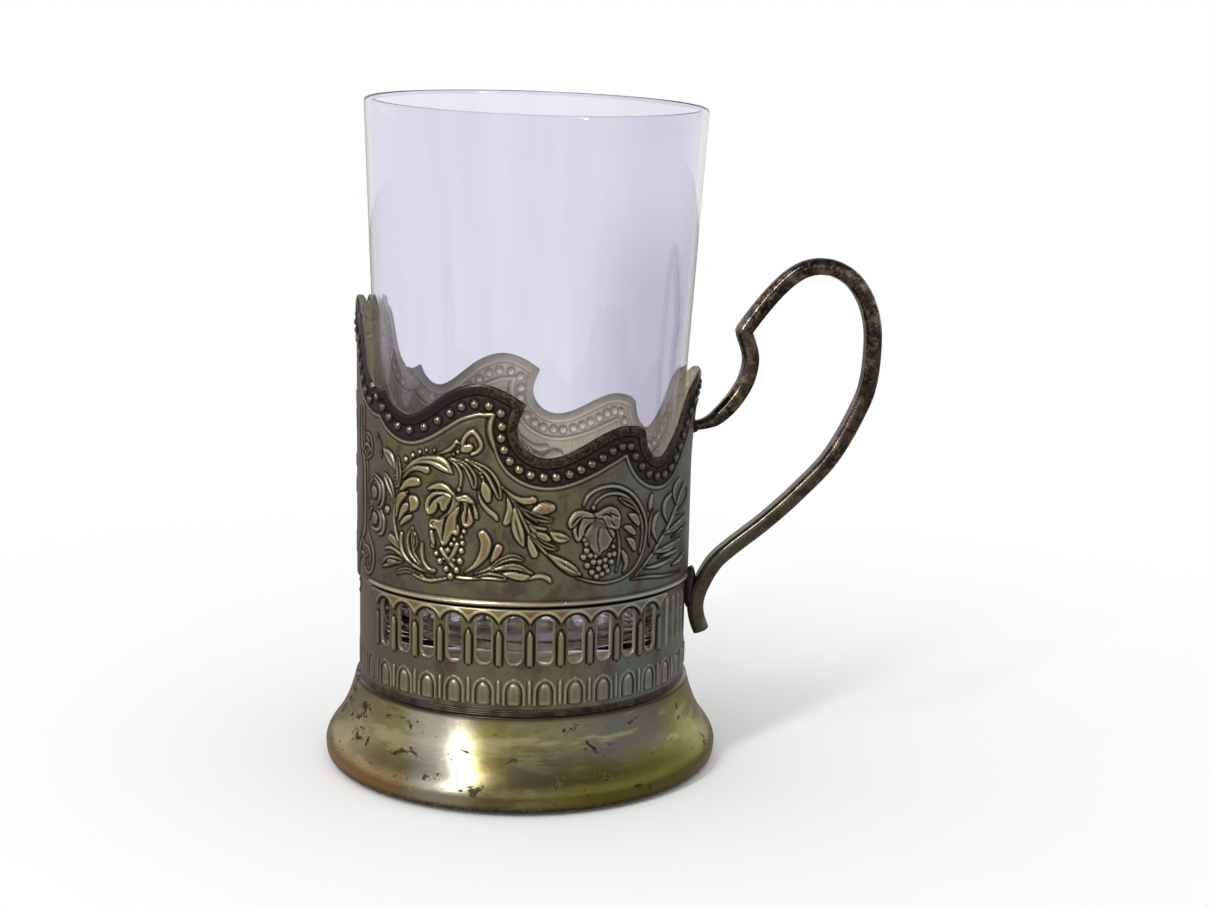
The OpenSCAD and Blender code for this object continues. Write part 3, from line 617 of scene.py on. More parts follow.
    ("petal", .8, [(-2.82, 62.2, .3), (-2.82, 64.6, 1.5), (-2.82, 67.2, .3)]),
    ("petal", .8, [(-2.82, 57.8, .3), (-2.82, 55.4, 1.5), (-2.82, 52.8, .3)]),
    ("petal", .8, [(-.9, 61.2, .3), (1.1, 62.4, 1.4), (3.4, 63.8, .3)]),
    ("petal", .8, [(-.9, 58.8, .3), (1.1, 57.6, 1.4), (3.4, 56.2, .3)]),
    ("rib", .7, [(-2.82, 50.4, .3), (-1.2, 48, .35), (1.8, 46.8, .35), (4.6, 48, .3),
        (5.4, 50.4, .25)]),
    ("leaf", .8, [(-1.4, 48.2, .2), (.4, 45.4, .9), (2.6, 43.4, .2)]),
    ("rib", .7, [(-2.82, 70, .3), (-1, 72.2, .35), (2, 73, .35), (4.6, 71.6, .3),
        (5.2, 69.2, .25)]),
    ("leaf", .8, [(-1.2, 72.4, .2), (.6, 75, .9), (2.6, 77, .2)]),
    ("balls", .7, [(-2.82, 78, 1), (-2.82, 81, .8)]), ("balls", .6, [(-2.82, 83.4, .6)]),
]


class Drawing:
    # half of the sheet on a fine raster: how high it stands and how dark its outlines are, as
    # patina and painted shade

    def __init__(self):
        cell = sleeve["cell"]
        self.across = np.arange(-3, halfRound + 3, cell)
        self.up = np.arange(sleeve["skirt"] - 0.4, sleeve["bottom"] + sleeve["height"] + 1.2, cell)
        self.height = np.zeros((len(self.up), len(self.across)))
        self.line = np.zeros_like(self.height)
        self.s, self.z = np.meshgrid(self.across, self.up)

    def window(self, s0, s1, z0, z1):
        # the cells between these limits
        out = []
        for cells, low, high in ((self.up, z0, z1), (self.across, s0, s1)):
            first, last = (int((x - cells[0]) / sleeve["cell"]) for x in (low, high))
            out.append(slice(np.clip(first, 0, len(cells)), np.clip(last + 2, 0, len(cells))))
        return tuple(out)

    def around(self, points, reach):
        low, high = points[:, :2].min(axis=0) - reach, points[:, :2].max(axis=0) + reach
        return self.window(low[0], high[0], low[1], high[1])

    def lift(self, win, height, edge):
        # a raised form, and the dark line just outside its edge: patina and painted shade at its
        # foot
        self.height[win] = np.maximum(self.height[win], height)
        mark = np.where(edge > 0, bell(edge, 0, sleeve["lineOut"]), bell(edge, 0, sleeve["lineIn"]))
        self.line[win] = np.maximum(self.line[win] * (1 - soft(0.0, -0.25, edge)), mark)

    def darken(self, win, line):
        # darker marks in grooves and pits: patina and painted shade
        self.line[win] = np.maximum(self.line[win], line)

    def stroke(self, kind, rise, points):
        pts = np.array([(sleeve["drawingZero"] - x, z, r) for x, z, r in points])
        run = smoothRun(pts, 12) if len(pts) > 1 else pts
        win = self.around(run, run[:, 2].max() + 1.2)
        s, z = self.s[win], self.z[win]
        if s.size == 0:
            return
        # distance from the middle line as a share of the half width there
        ratio, near = np.full(s.shape, 1e9), np.full(s.shape, 1e9)
        along, size = np.zeros(s.shape), np.ones(s.shape)
        for i, (a, b, r) in enumerate(run):
            d = np.hypot(s - a, z - b)
            q = d / max(r, 0.08)
            hit = q < ratio
            ratio[hit], along[hit], size[hit] = q[hit], i / max(len(run) - 1, 1), r
            near = np.minimum(near, d)
        high = sleeve["relief"] * rise
        q = np.clip(ratio, 0, 1)
        if kind == "vein":
            cut = np.where(ratio < 1, dome(q), 0)
            self.height[win] *= 1 - 0.85 * cut
            # the cut is darkened: patina and painted shade in the groove
            self.darken(win, 0.95 * cut)
            return
        if kind in ("rib", "ball"):
            height = high * dome(q)
        elif kind == "petal":
            height = high * (0.84 * dome(q, 5) + 0.16 * bell(q, 0.72, 0.16))
        elif kind == "leaf":
            vein = bell(near, 0, 0.2) * soft(0.2, 0.4, along) * soft(0.98, 0.8, along)
            height = high * dome(q, 5) * (1 - 0.75 * vein)
        elif kind == "loop":
            # a loop of wire where it is wide enough, else a rib
            hollow = high * bell(q, 0.7, 0.3) * soft(1.0, 0.92, q)
            height = np.where(size < 0.34, high * dome(q), hollow)
        elif kind == "bud":
            ripple = np.sin(s * 9.1 + 2 * np.sin(z * 3.7)) * np.sin(z * 8.3 + 2 * np.sin(s * 4.1))
            pits = 0.5 + 0.5 * ripple
            height = high * (1 - q ** 3) ** 0.7 * (0.7 + 0.3 * pits)
        self.lift(win, np.where(ratio < 1, height, 0), (ratio - 1) * np.maximum(size, 0.12))
        # darker inside loops, along leaf veins and in bud pits: patina and painted shade
        if kind == "loop":
            self.darken(win, 0.8 * bell(q, 0.2, 0.25) * (size > 0.34) * (ratio < 0.6))
        elif kind == "leaf":
            self.darken(win, 0.9 * vein * (ratio < 0.8))
        elif kind == "bud":
            self.darken(win, (0.6 - pits).clip(0, 1) * (ratio < 0.9))

    def plate(self, rise, corners):
        # a flat form inside a closed outline, with its edge rolled up a little
        pts = np.array([(sleeve["drawingZero"] - x, z) for x, z in corners])
        steps, reach = 4, 3.0
        loop = smoothRun(np.vstack([pts[-1:], pts, pts[:2]]), steps)
        loop = loop[steps:steps * (len(pts) + 1) + 1]
        win = self.around(loop, 1)
        s, z = self.s[win], self.z[win]
        far = np.minimum(toOutline(loop, s, z, reach)[0], reach)
        deep = np.where(underOutline(loop, s, z), far, -far)
        form = 0.74 * soft(-0.05, 0.25, deep) + 0.26 * bell(deep, 0.27, 0.2)
        self.lift(win, np.where(deep > 0, sleeve["relief"] * rise * form, 0), -deep)


def rimOutline():
    # the wavy edge in flat millimetres, run on past both ends as its mirror image
    side = np.vstack([smoothRun(run, 8)[:-1] for run in rimRuns[:-1]] + [smoothRun(rimRuns[-1], 8)])
    turn = math.pi / 180 * sleeve["radius"]
    line = np.column_stack([side[:, 0] * turn, sleeve["bottom"] + side[:, 1] * sleeve["height"]])
    before = (line[1:] * (-1, 1))[::-1]
    after = (line[:-1] * (-1, 1) + (2 * line[-1, 0], 0))[::-1]
    return np.vstack([before[before[:, 0] > -12], line, after[after[:, 0] < line[-1, 0] + 12]])


def toOutline(outline, s, z, reach):
    # distance to the edge within reach, and the nearest place on it
    far = np.full(s.shape, 1e3)
    ns, nz = s.copy(), z.copy()
    for (a, b), (c, d) in zip(outline[:-1], outline[1:]):
        pick = ((s > min(a, c) - reach) & (s < max(a, c) + reach)
                & (z > min(b, d) - reach) & (z < max(b, d) + reach))
        if not pick.any():
            continue
        ps, pz = s[pick], z[pick]
        span = (c - a) ** 2 + (d - b) ** 2
        t = np.clip(((ps - a) * (c - a) + (pz - b) * (d - b)) / max(span, 1e-12), 0, 1)
        qs, qz = a + t * (c - a), b + t * (d - b)
        dist = np.hypot(ps - qs, pz - qz)
        old = far[pick]
        better = dist < old
        old[better] = dist[better]
        far[pick] = old
        for store, q in ((ns, qs), (nz, qz)):
            part = store[pick]
            part[better] = q[better]
            store[pick] = part
    return far, ns, nz


def underOutline(outline, s, z):
    inside = np.zeros(s.shape, bool)
    for (a, b), (c, d) in zip(outline[:-1], outline[1:]):
        if a == c:
            continue
        pick = (s >= min(a, c)) & (s < max(a, c))
        edge = b + (s - a) / (c - a) * (d - b)
        inside ^= pick & (z < edge)
    return inside


def blurred(image, size):
    # softened by rows, then by columns
    cells = size / sleeve["cell"]
    half = int(3 * cells)
    taps = np.exp(-0.5 * (np.arange(-half, half + 1) / cells) ** 2)
    taps /= taps.sum()
    for axis in (0, 1):
        pad = [(half, half) if k == axis else (0, 0) for k in (0, 1)]
        wide = np.pad(image, pad, mode="edge")
        out = np.zeros_like(image)
        n = image.shape[axis]
        for k, tap in enumerate(taps):
            out += tap * (wide[k:k + n] if axis == 0 else wide[:, k:k + n])
        image = out
    return image


def drawRim(sheet, outline):
    # the roll, the beads and the thin ridge that follow the wavy edge
    far = toOutline(outline, sheet.s, sheet.z, sleeve["rimReach"])[0]
    d = sheet.far = np.where(underOutline(outline, sheet.s, sheet.z), far, -far)
    band = (d > -0.5) & (d < sleeve["rimReach"])
    half = sleeve["rollWide"] / 2
    roll = sleeve["rollRise"] * dome(np.abs((d - half) / half), 3)
    wide = np.interp(sheet.s, *zip(*ridgeRun))
    ridge = sleeve["ridgeRise"] * bell(d, wide, sleeve["ridgeHalf"])
    # nothing of the vine stands above the ridge
    clear = band & (d < wide + 0.6)
    sheet.height[clear] = 0
    sheet.line[clear] = 0
    sheet.height = np.where(band, np.maximum(sheet.height, np.maximum(roll, ridge)), sheet.height)
    sheet.border = soft(wide + 0.1, wide - 0.3, d) * (d > -1)
    sheet.edge = soft(sleeve["rollWide"] + 0.05, sleeve["rollWide"] - 0.35, d) * (d > -1)
    # dark lines beside the roll and the ridge: patina and painted shade
    lines = ((sleeve["rollWide"] + 0.12, 0.85), (wide - 0.45, 0.8), (wide + 0.48, 0.75))
    for place, depth in lines:
        sheet.line = np.maximum(sheet.line, depth * bell(d, place, 0.2))
    places = [(sleeve["drawingZero"] - x, z) for x, z in rimBeads]
    places += restOfBeads(outline, max(a for a, b in places) + sleeve["beadPitch"] / 2)
    r = sleeve["beadSize"]
    for a, b in places:
        win = sheet.window(a - r - 1, a + r + 1, b - r - 1, b + r + 1)
        dist = np.hypot(sheet.s[win] - a, sheet.z[win] - b)
        sheet.lift(win, sleeve["beadRise"] * dome(dist / r), dist - r)
    print("rim beads on half the sheet:", len(places))


def restOfBeads(outline, start):
    # on the far side they keep one distance from the edge and one pitch
    fine = outline[(outline[:, 0] > start - 6) & (outline[:, 0] < halfRound + 10)]
    ahead = np.gradient(fine, axis=0)
    ahead /= np.hypot(*ahead.T)[:, None]
    inward = np.column_stack([ahead[:, 1], -ahead[:, 0]])
    trail = fine + sleeve["beadLine"] * inward
    trail = np.vstack([trail[:-1], (trail[:-1] + trail[1:]) / 2])
    trail = trail[np.argsort(trail[:, 0])]
    gap = toOutline(outline, trail[:, 0], trail[:, 1], sleeve["rimReach"])[0]
    trail = trail[(gap > sleeve["beadLine"] - 0.12) & (trail[:, 0] > start)]
    beads = [trail[0]]
    for spot in trail[1:]:
        if np.hypot(*(spot - beads[-1])) >= sleeve["beadPitch"]:
            beads.append(spot)
    return [tuple(b) for b in beads]


def slotDistance(s, z):
    # distance outside the nearest slot's edge, negative in the slot, and its middle line's place
    nearest = np.clip(np.round(s / sleeve["pitch"]), sleeve["firstSlot"], sleeve["lastSlot"])
    mid = nearest * sleeve["pitch"]
    half = sleeve["slotHalf"]
    rise = np.clip(z, sleeve["slotFrom"] + half, sleeve["slotTo"] - half)
    return np.hypot(s - mid, z - rise) - half, mid, rise


def pointed(z, tip, point, power):
    # full width below, narrowing to a point at the tip
    return np.clip((tip - z) / point, 0.02, 1) ** power


def drawArcade(sheet):
    a = arcade
    low = sheet.window(-9, 999, 0, a["top"])
    s, z = sheet.s[low], sheet.z[low]
    bay = s / sleeve["pitch"]
    off = np.abs(s - np.round(bay) * sleeve["pitch"])
    aside = np.abs(s - (np.floor(bay) + 0.5) * sleeve["pitch"])
    first, last = sleeve["firstSlot"], sleeve["lastSlot"]
    pierced = (bay > first - 0.95) & (bay < last + 0.95)
    ribbed = (bay > first - 1) & (bay < last + 1)
    # the lines drawn here darken the metal beside each form: patina and painted shade
    forms, lines = [sheet.height[low]], [sheet.line[low]]
    # the band above the slots, cut into bows, with its light edge
    out = np.where(z < a["bandFrom"], -1, np.hypot(off, np.maximum(z - a["bowUp"], 0)) - a["bow"])
    band = a["bandRise"] * soft(-0.12, 0.12, out) + a["bandEdge"] * bell(out, 0.28, 0.2)
    forms.append(pierced * band * soft(a["bandTo"], a["bandTo"] - 0.3, z))
    lines.append(pierced * (z > a["bandFrom"] - 0.4) * 0.95 * bell(out, -0.18, 0.24))
    # the thin rim of each slot
    gap = slotDistance(s, z)[0]
    forms.append(0.1 * bell(gap, 0.15, 0.16))
    lines.append(0.3 * bell(gap, 0.45, 0.16) * (z < 36))
    # pointed ribs between the slots
    foot, top = a["ribFrom"], a["ribTo"]
    wide = a["ribHalf"] * pointed(z, top, a["ribPoint"], 0.65)
    rib = a["ribRise"] * dome(aside / wide) * soft(foot - 0.05, foot + 0.3, z) * (z < top)
    forms.append(ribbed * rib)
    beyond = np.maximum(np.maximum(foot - z, z - top), 0)
    edge = np.hypot(np.maximum(aside - wide * (z > foot), 0), beyond)
    lines.append(ribbed * bell(edge, 0.18, 0.2))
    # tall soft flutes where the arcade is blind
    flute = a["fluteRise"] * np.cos(aside / sleeve["pitch"] * 2 * math.pi) ** 2
    flute *= soft(27, 28.5, z) * soft(38, 36.5, z)
    forms.append(~pierced * flute * (s > a["fluteFrom"]) * (s < a["fluteTo"]))
    # the lower row: pointed arches
    t = np.clip((z - a["spring"]) / (a["apex"] - a["spring"]), 0, 1)
    q = off - a["archHalf"] * (1 - t ** 2.2) ** 0.62
    rowed = (z > a["rowFrom"]) & (z < a["apex"] + 0.3)
    crown = np.where(z > a["apex"], np.hypot(off, z - a["apex"]), np.abs(q))
    forms.append(a["archRise"] * bell(crown, 0, 0.2) * rowed)
    lines.append(0.9 * bell(q, -0.42, 0.16) * rowed * (q < 0) * (z < a["apex"] - 0.3))
    # a cushion in each
    t = np.clip((z - a["padSpring"]) / a["padUp"], 0, 1)
    pad = np.maximum(a["padHalf"] * (1 - t ** 2.2) ** 0.6, 0.05)
    cushion = a["padRise"] * (1 - np.clip(off / pad, 0, 1) ** 3)
    forms.append(cushion * (z < a["padTo"]) * (z > a["padFrom"]))
    lines.append(0.7 * bell(z, a["rowFrom"], 0.13) * (off < 1.5))
    # and a small pin between
    pin = a["pinHalf"] * pointed(z, a["apex"], a["pinPoint"], 0.6)
    small = a["pinRise"] * dome(aside / pin) * (z < a["apex"])
    forms.append(small * soft(a["rowFrom"], a["rowFrom"] + 0.4, z))
    lines.append(0.75 * bell(aside, 0.45, 0.13) * (z < a["apex"] - 0.1) * (z > a["rowFrom"] + 0.1))
    sheet.height[low] = np.maximum.reduce(forms)
    sheet.line[low] = np.maximum.reduce(lines)


def wall(z):
    # outer radius of the plain sheet
    step = soft(sleeve["mould"] - 0.75, sleeve["mould"] - 0.4, z)
    return sleeve["drum"] + (sleeve["plain"] - sleeve["drum"]) * step


def drawSheet():
    sheet = Drawing()
    for kind, rise, points in vine:
        if kind == "plate":
            sheet.plate(rise, points)
        elif kind == "balls":
            for point in points:
                sheet.stroke("ball", rise, [point])
        else:
            sheet.stroke(kind, rise, points)
    drawArcade(sheet)
    # the moulding, which stops short of the handle and of the shield, with dark lines of patina and
    # painted shade below and above it
    up = sheet.z - sleeve["mould"]
    near, shield = sleeve["mouldFrom"], halfRound - sleeve["shieldHalf"]
    away = soft(near, near + 2, sheet.s) * soft(shield, shield - 2, sheet.s)
    mould = sleeve["mouldRise"] * dome(up / sleeve["mouldHalf"])
    sheet.height = np.maximum(sheet.height, mould * away)
    sheet.line = np.maximum(sheet.line, 0.8 * bell(up, -0.95, 0.26) * away)
    sheet.line = np.maximum(sheet.line, 0.6 * bell(up, 0.62, 0.16) * away)
    sheet.height *= 1 - 0.55 * soft(sleeve["fadeFrom"], sleeve["fadeTo"], sheet.s)
    sheet.outline = rimOutline()
    drawRim(sheet, sheet.outline)
    sheet.height -= 0.1 * sheet.line * soft(0.3, 0.0, sheet.height)
    # the relief as the inside shows it, where the metal is worn, its crests for worn edges and
    # painted highlight, and its hollows for patina and painted shade
    sheet.soft = sleeve["innerShare"] * blurred(sheet.height, sleeve["innerBlur"])
    above = sheet.height - blurred(sheet.height, sleeve["wearBlur"])
    crest = sheet.height - blurred(sheet.height, sleeve["crestBlur"])
    sheet.worn = np.clip(above / sleeve["wearStep"], 0, 1)
    sheet.crest = np.clip(crest / sleeve["crestStep"], 0, 1)
    deep = np.clip(-above / sleeve["deepStep"], 0, 1)
    sheet.hollow = np.clip(0.9 * blurred(sheet.line, sleeve["lineBlur"]) + 0.5 * deep, 0, 1)
    print("the sheet's relief is drawn")
    return sheet


def sample(sheet, image, s, z):
    # the raster between its cells
    cell = sleeve["cell"]
    x = np.clip((s - sheet.across[0]) / cell, 0, len(sheet.across) - 1.001)
    y = np.clip((z - sheet.up[0]) / cell, 0, len(sheet.up) - 1.001)
    i, j = x.astype(int), y.astype(int)
    u, v = x - i, y - j
    return (image[j, i] * (1 - u) * (1 - v) + image[j, i + 1] * u * (1 - v)
            + image[j + 1, i] * (1 - u) * v + image[j + 1, i + 1] * u * v)


def insideSheet(sheet, bm, rimmed):
    # which vertices of the flat grid lie on the sheet itself
    flat = np.array([v.co[:2] for v in bm.verts])
    s, z = flat[:, 0], flat[:, 1]
    if not rimmed:
        return slotDistance(s, z)[0] > 0
    near = sample(sheet, sheet.far, s, z)
    inside = near > 0
    edge = np.abs(near) < 1.5 * sleeve["mesh"]
    inside[edge] = underOutline(sheet.outline, s[edge], z[edge])
    return inside


def sheetPiece(sheet, metal, name, side, s0, s1, z0, z1):
    # a flat grid, trimmed to the rim and the slots, given its thickness, embossed and rolled
    step = sleeve["mesh"]
    rimmed = z0 >= sleeve["splitLow"]
    bm = bmesh.new()
    lie = Matrix.Translation(((s0 + s1) / 2, (z0 + z1) / 2, 0))
    lie = lie @ Matrix.Diagonal(((s1 - s0) / 2, (z1 - z0) / 2, 1, 1))
    bmesh.ops.create_grid(bm, x_segments=int(round((s1 - s0) / step)),
                          y_segments=int(round((z1 - z0) / step)), size=1, matrix=lie)
    for v, keep in zip(bm.verts, insideSheet(sheet, bm, rimmed)):
        v.tag = bool(keep)
    drop = [f for f in bm.faces if not any(v.tag for v in f.verts)]
    bmesh.ops.delete(bm, geom=drop, context="FACES")
    # vertices left outside, or very near the edge, are drawn to it
    outside = ~insideSheet(sheet, bm, rimmed)
    flat = np.array([v.co[:2] for v in bm.verts])
    ps, pz = flat[:, 0].copy(), flat[:, 1].copy()
    held = (ps < s0 + 1e-4) | (ps > s1 - 1e-4)
    if rimmed:
        move = outside | (np.abs(sample(sheet, sheet.far, ps, pz)) < 0.35 * step)
        _, ps[move], pz[move] = toOutline(sheet.outline, ps[move], pz[move], 4 * step)
    else:
        gap, mid, rise = slotDistance(ps, pz)
        move = outside | (np.abs(gap) < 0.35 * step)
        ds, dz = ps - mid, pz - rise
        size = np.maximum(np.hypot(ds, dz), 1e-6)
        ps[move] = (mid + ds / size * sleeve["slotHalf"])[move]
        pz[move] = (rise + dz / size * sleeve["slotHalf"])[move]
    for v, a, b, hold in zip(bm.verts, ps, pz, held):
        v.co.x, v.co.y = (v.co.x if hold else a), b
    bmesh.ops.dissolve_degenerate(bm, edges=bm.edges, dist=1e-3)
    bmesh.ops.solidify(bm, geom=bm.faces, thickness=sleeve["sheet"])
    co = np.array([v.co for v in bm.verts])
    s, z, depth = co.T
    inner = depth < depth.mean() if abs(depth.min()) > abs(depth.max()) else depth > depth.mean()
    lining = np.maximum(sample(sheet, sheet.soft, s, z), 0) - sleeve["sheet"]
    radius = wall(z) + np.where(inner, lining, sample(sheet, sheet.height, s, z))
    turn = s / sleeve["radius"]
    flare = sleeve["flare"] * soft(sleeve["flareFrom"], sleeve["flareTo"], z)
    radius += flare * soft(0.48, 0.12, turn)
    for v, x, y in zip(bm.verts, radius * np.cos(turn), side * radius * np.sin(turn)):
        v.co = (x, y, v.co.y)
    bmesh.ops.recalc_face_normals(bm, faces=bm.faces)
    piece = asPiece(bm, name, metal)
    marks = {label: sample(sheet, getattr(sheet, label), s, z)
             for label in ("hollow", "worn", "border", "crest", "edge")}
    marks.update(inside=inner, round=s / halfRound)
    for label, values in marks.items():
        mark = piece.data.attributes.new(label, "FLOAT", "POINT")
        mark.data.foreach_set("value", values.astype(np.float32))
    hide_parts("sleeve")
    print(name, len(piece.data.polygons), "faces")


def sleeveMetal():
    metal = Recipe("stamped_silvered_brass")
    hollow, worn, border, crest, edge, inside, turn = map(
        metal.drawn, ("hollow", "worn", "border", "crest", "edge", "inside", "round"))
    broad = metal.noise(11, 3, twist=0.5)
    cloud = metal.noise(3.4, 5, 0.62, twist=0.6)
    other = metal.noise(6.0, 4, 0.6, scale=(1, 1, 0.8), twist=0.8)
    third = metal.noise(8.0, 3, 0.6, scale=(1.1, 1.1, 1.3), twist=0.4)
    stain = metal.noise(1.7, 6, 0.7, twist=1.0)
    grain = metal.noise(0.4, 4, 0.7)
    speck = metal.noise(0.6, 4, 0.75)
    scratch = metal.noise(0.5, 3, 0.6, scale=(1, 1, 0.14))
    # the plate is worn to brass on the near left, and grey blue towards the handle
    brassy = turn.between(0.33, 0.46) * (1 - turn.between(0.72, 0.80) * 0.85)
    far = turn.between(0.74, 0.82)
    beyond = turn.between(0.50, 0.62)
    lowRow = 1 - metal.axis("Z").between(25, 30)
    ground = metal.coats(
        (0.28, 0.335, 0.34),
        (turn.between(0.26, 0.42), (0.34, 0.35, 0.23)),
        (turn.between(0.58, 0.74) * 0.9, (0.31, 0.25, 0.23)),
        (broad.between(0.46, 0.60) * 0.85, (0.22, 0.15, 0.125)),
        (other.between(0.50, 0.64) * 0.7 * brassy, (0.44, 0.40, 0.13)),
        (cloud.between(0.50, 0.68) * 0.4, (0.36, 0.38, 0.37)),
        (stain.between(0.52, 0.68) * 0.45, (0.17, 0.13, 0.10)))
    gold = metal.coats(
        (0.92, 0.64, 0.18),
        (other.between(0.42, 0.58), (0.78, 0.72, 0.28)),
        (third.between(0.47, 0.58), (0.78, 0.38, 0.13)))
    raised = metal.coats(
        (0.38, 0.37, 0.31), (brassy, gold),
        (far * 0.75, (0.34, 0.29, 0.25)), (lowRow * 0.7, (0.38, 0.35, 0.30)))
    # the light tone on the crests: worn edges and painted highlight
    light = metal.coats(
        (0.70, 0.72, 0.66), (brassy, (1.0, 0.92, 0.66)), (far * 0.6, (0.56, 0.52, 0.46)))
    # the dark band with its beads
    dark = metal.blend(broad.between(0.4, 0.6), (0.074, 0.062, 0.096), (0.086, 0.06, 0.062))
    warm = metal.blend(cloud.between(0.4, 0.6), (0.40, 0.33, 0.15), (0.32, 0.20, 0.13))
    bead = metal.coats((0.095, 0.092, 0.088), (brassy, warm), (beyond, (0.22, 0.17, 0.20)))
    # painted highlight on the tops of the beads
    gleam = crest * (0.36 - 0.2 * beyond) * (0.45 + 0.55 * brassy)
    rimmed = metal.coats(dark, ((worn * 1.2).clamped(), bead), (gleam, light))
    # the roll at the edge, rusty on the right
    rust = metal.coats(
        (0.022, 0.02, 0.018), (speck.between(0.44, 0.60), (0.22, 0.15, 0.115)),
        (turn.between(0.52, 0.60), (0.055, 0.052, 0.06)))
    lining = metal.coats(
        metal.blend(cloud.between(0.35, 0.7), (1.0, 0.86, 0.52), (1.0, 0.97, 0.74)),
        (turn.between(0.55, 0.8) * 0.8, (0.42, 0.37, 0.22)),
        (scratch.between(0.45, 0.7) * 0.4, (0.62, 0.52, 0.34)),
        (edge * 0.6, (0.34, 0.33, 0.25)),
        # patina and painted shade in the lining's hollows, and painted highlight on its crests
        ((hollow * 0.85).clamped(), (0.26, 0.20, 0.10)),
        (crest * (1 - edge) * 0.5, (1.0, 1.0, 0.9)))
    colour = metal.coats(
        ground,
        ((worn * 1.3).clamped(), raised),
        ((crest * 0.85).clamped(), light),
        (border * 0.92, rimmed),
        (edge * 0.9, rust),
        # painted highlight along the crest of the rolled edge
        (edge * crest.between(0.5, 0.95) * 0.8, (0.74, 0.72, 0.64)),
        # patina and painted shade in the hollows and beside the raised forms
        ((hollow * 1.15).clamped(), (0.026, 0.021, 0.009)),
        (inside, lining))
    rough = 0.20 - worn * 0.05 + grain * 0.10 + hollow * 0.3 + inside * 0.3 + cloud * 0.1
    rough = rough - border * worn * 0.08 - edge * 0.03
    bumps = metal.bump(grain + 0.9 * cloud + 0.5 * scratch, 0.06, 0.55)
    return metal.finish(Base_Color=colour, Metallic=0.96 - inside * 0.78, Roughness=rough.clamped(),
                        Normal=bumps)


sheet = drawSheet()
stamped = sleeveMetal()
low, split = sleeve["splitLow"], sleeve["splitRound"]
brim = sleeve["bottom"] + sleeve["height"] + 0.4
for word, side in (("front", -1), ("back", 1)):
    sheetPiece(sheet, stamped, "sleeve_arcade_" + word, side, 0, halfRound, sleeve["skirt"], low)
    sheetPiece(sheet, stamped, "sleeve_vine_" + word + "_near", side, 0, split, low, brim)
    sheetPiece(sheet, stamped, "sleeve_vine_" + word + "_far", side, split, halfRound, low, brim)
print("sleeve rolled")


# foot, ring and seat

foot = {
    "outer": [(35.15, 17.5), (35.28, 16.9), (35.45, 16.2), (35.8, 15.0), (36.25, 13.6),
              (36.8, 12.1), (37.45, 10.6), (38.3, 9.0), (39.3, 7.5), (40.15, 6.4), (40.75, 5.5),
              (41.2, 4.5), (41.45, 3.5), (41.4, 2.5), (41.3, 1.6), (40.95, .8), (40.3, .25),
              (39.6, 0.0)],
    "inner": [(38.7, 0.0), (38.6, .8), (39.9, 1.8), (40.3, 3.2), (39.9, 4.8), (38.8, 6.4),
              (37.3, 8.0), (36.2, 9.8), (35.3, 12.0), (34.8, 14.4), (34.2, 16.2), (33.6, 16.6)],
    "plate": [(23.4, 16.6), (23.4, 17.5)],
}
ring = {"from": 17.5, "to": 18.75, "out": 34.5, "in": 30.3, "ribs": 3}


def footMetal():
    metal = Recipe("worn_spun_brass")
    spin = metal.noise(0.5, 4, 0.7, scale=(0.03, 0.03, 1.6))
    brush = metal.noise(3.0, 5, 0.65, scale=(1, 1, 4))
    streak = metal.noise(5, 4, 0.6, scale=(0.35, 0.35, 1.6))
    cloud = metal.noise(8, 5, 0.6, twist=0.8)
    patch = metal.noise(13, 3, 0.5, scale=(1, 1, 0.6), twist=0.5)
    flake = metal.noise(5.0, 8, 0.72, scale=(1, 1, 1.6), twist=0.4)
    speck = metal.noise(0.55, 5, 0.7)
    height, across = metal.axis("Z"), metal.axis("X")
    left = 1 - across.between(-34, -10)
    slate = across.between(8, 20) * (1 - across.between(27, 33)) * height.between(7, 11.5)
    copper = (1 - height.between(2.5, 7.0)) * left
    # painted highlight, a pale streak where the window shines on the foot
    gleam = across.between(-23, -16) * (1 - across.between(-12, -5))
    shady = across.between(-6, 16) * (1 - height.between(5.5, 9.5))
    sole = (1 - height.between(0.9, 2.4)) * speck.between(0.32, 0.54)
    spots = (flake + left * height.between(6, 10) * 0.06).between(0.60, 0.635)
    colour = metal.coats(
        (0.34, 0.25, 0.075),
        (cloud.between(0.40, 0.60), (0.40, 0.365, 0.12)),
        (patch.between(0.48, 0.62) * 0.45, (0.27, 0.25, 0.21)),
        (across.between(8, 36) * 0.6, (0.36, 0.36, 0.10)),
        (slate * (0.55 + 0.45 * patch), (0.17, 0.19, 0.20)),
        (left * (0.35 + 0.6 * cloud), (0.40, 0.33, 0.22)),
        (brush.between(0.42, 0.7) * 0.5, (0.26, 0.20, 0.10)),
        (streak.between(0.52, 0.64) * 0.55, (0.66, 0.58, 0.30)),
        (copper * 0.85, (0.62, 0.34, 0.15)),
        # the painted highlight
        (gleam * 0.6, (0.86, 0.82, 0.72)),
        (shady * 0.75, (0.20, 0.185, 0.035)),
        (sole, (0.06, 0.05, 0.05)),
        # painted shade at the top of the foot, under the ring
        (height.between(16.6, 17.3), (0.10, 0.08, 0.05)),
        (spots * 0.92, (0.065, 0.045, 0.035)))
    rough = 0.12 + brush * 0.12 + spots * 0.35 + patch * 0.08
    bumps = metal.bump(spin + speck * 0.25 - spots * 1.2, 0.05, 0.7)
    return metal.finish(Base_Color=colour, Metallic=0.97, Roughness=rough.clamped(), Normal=bumps)


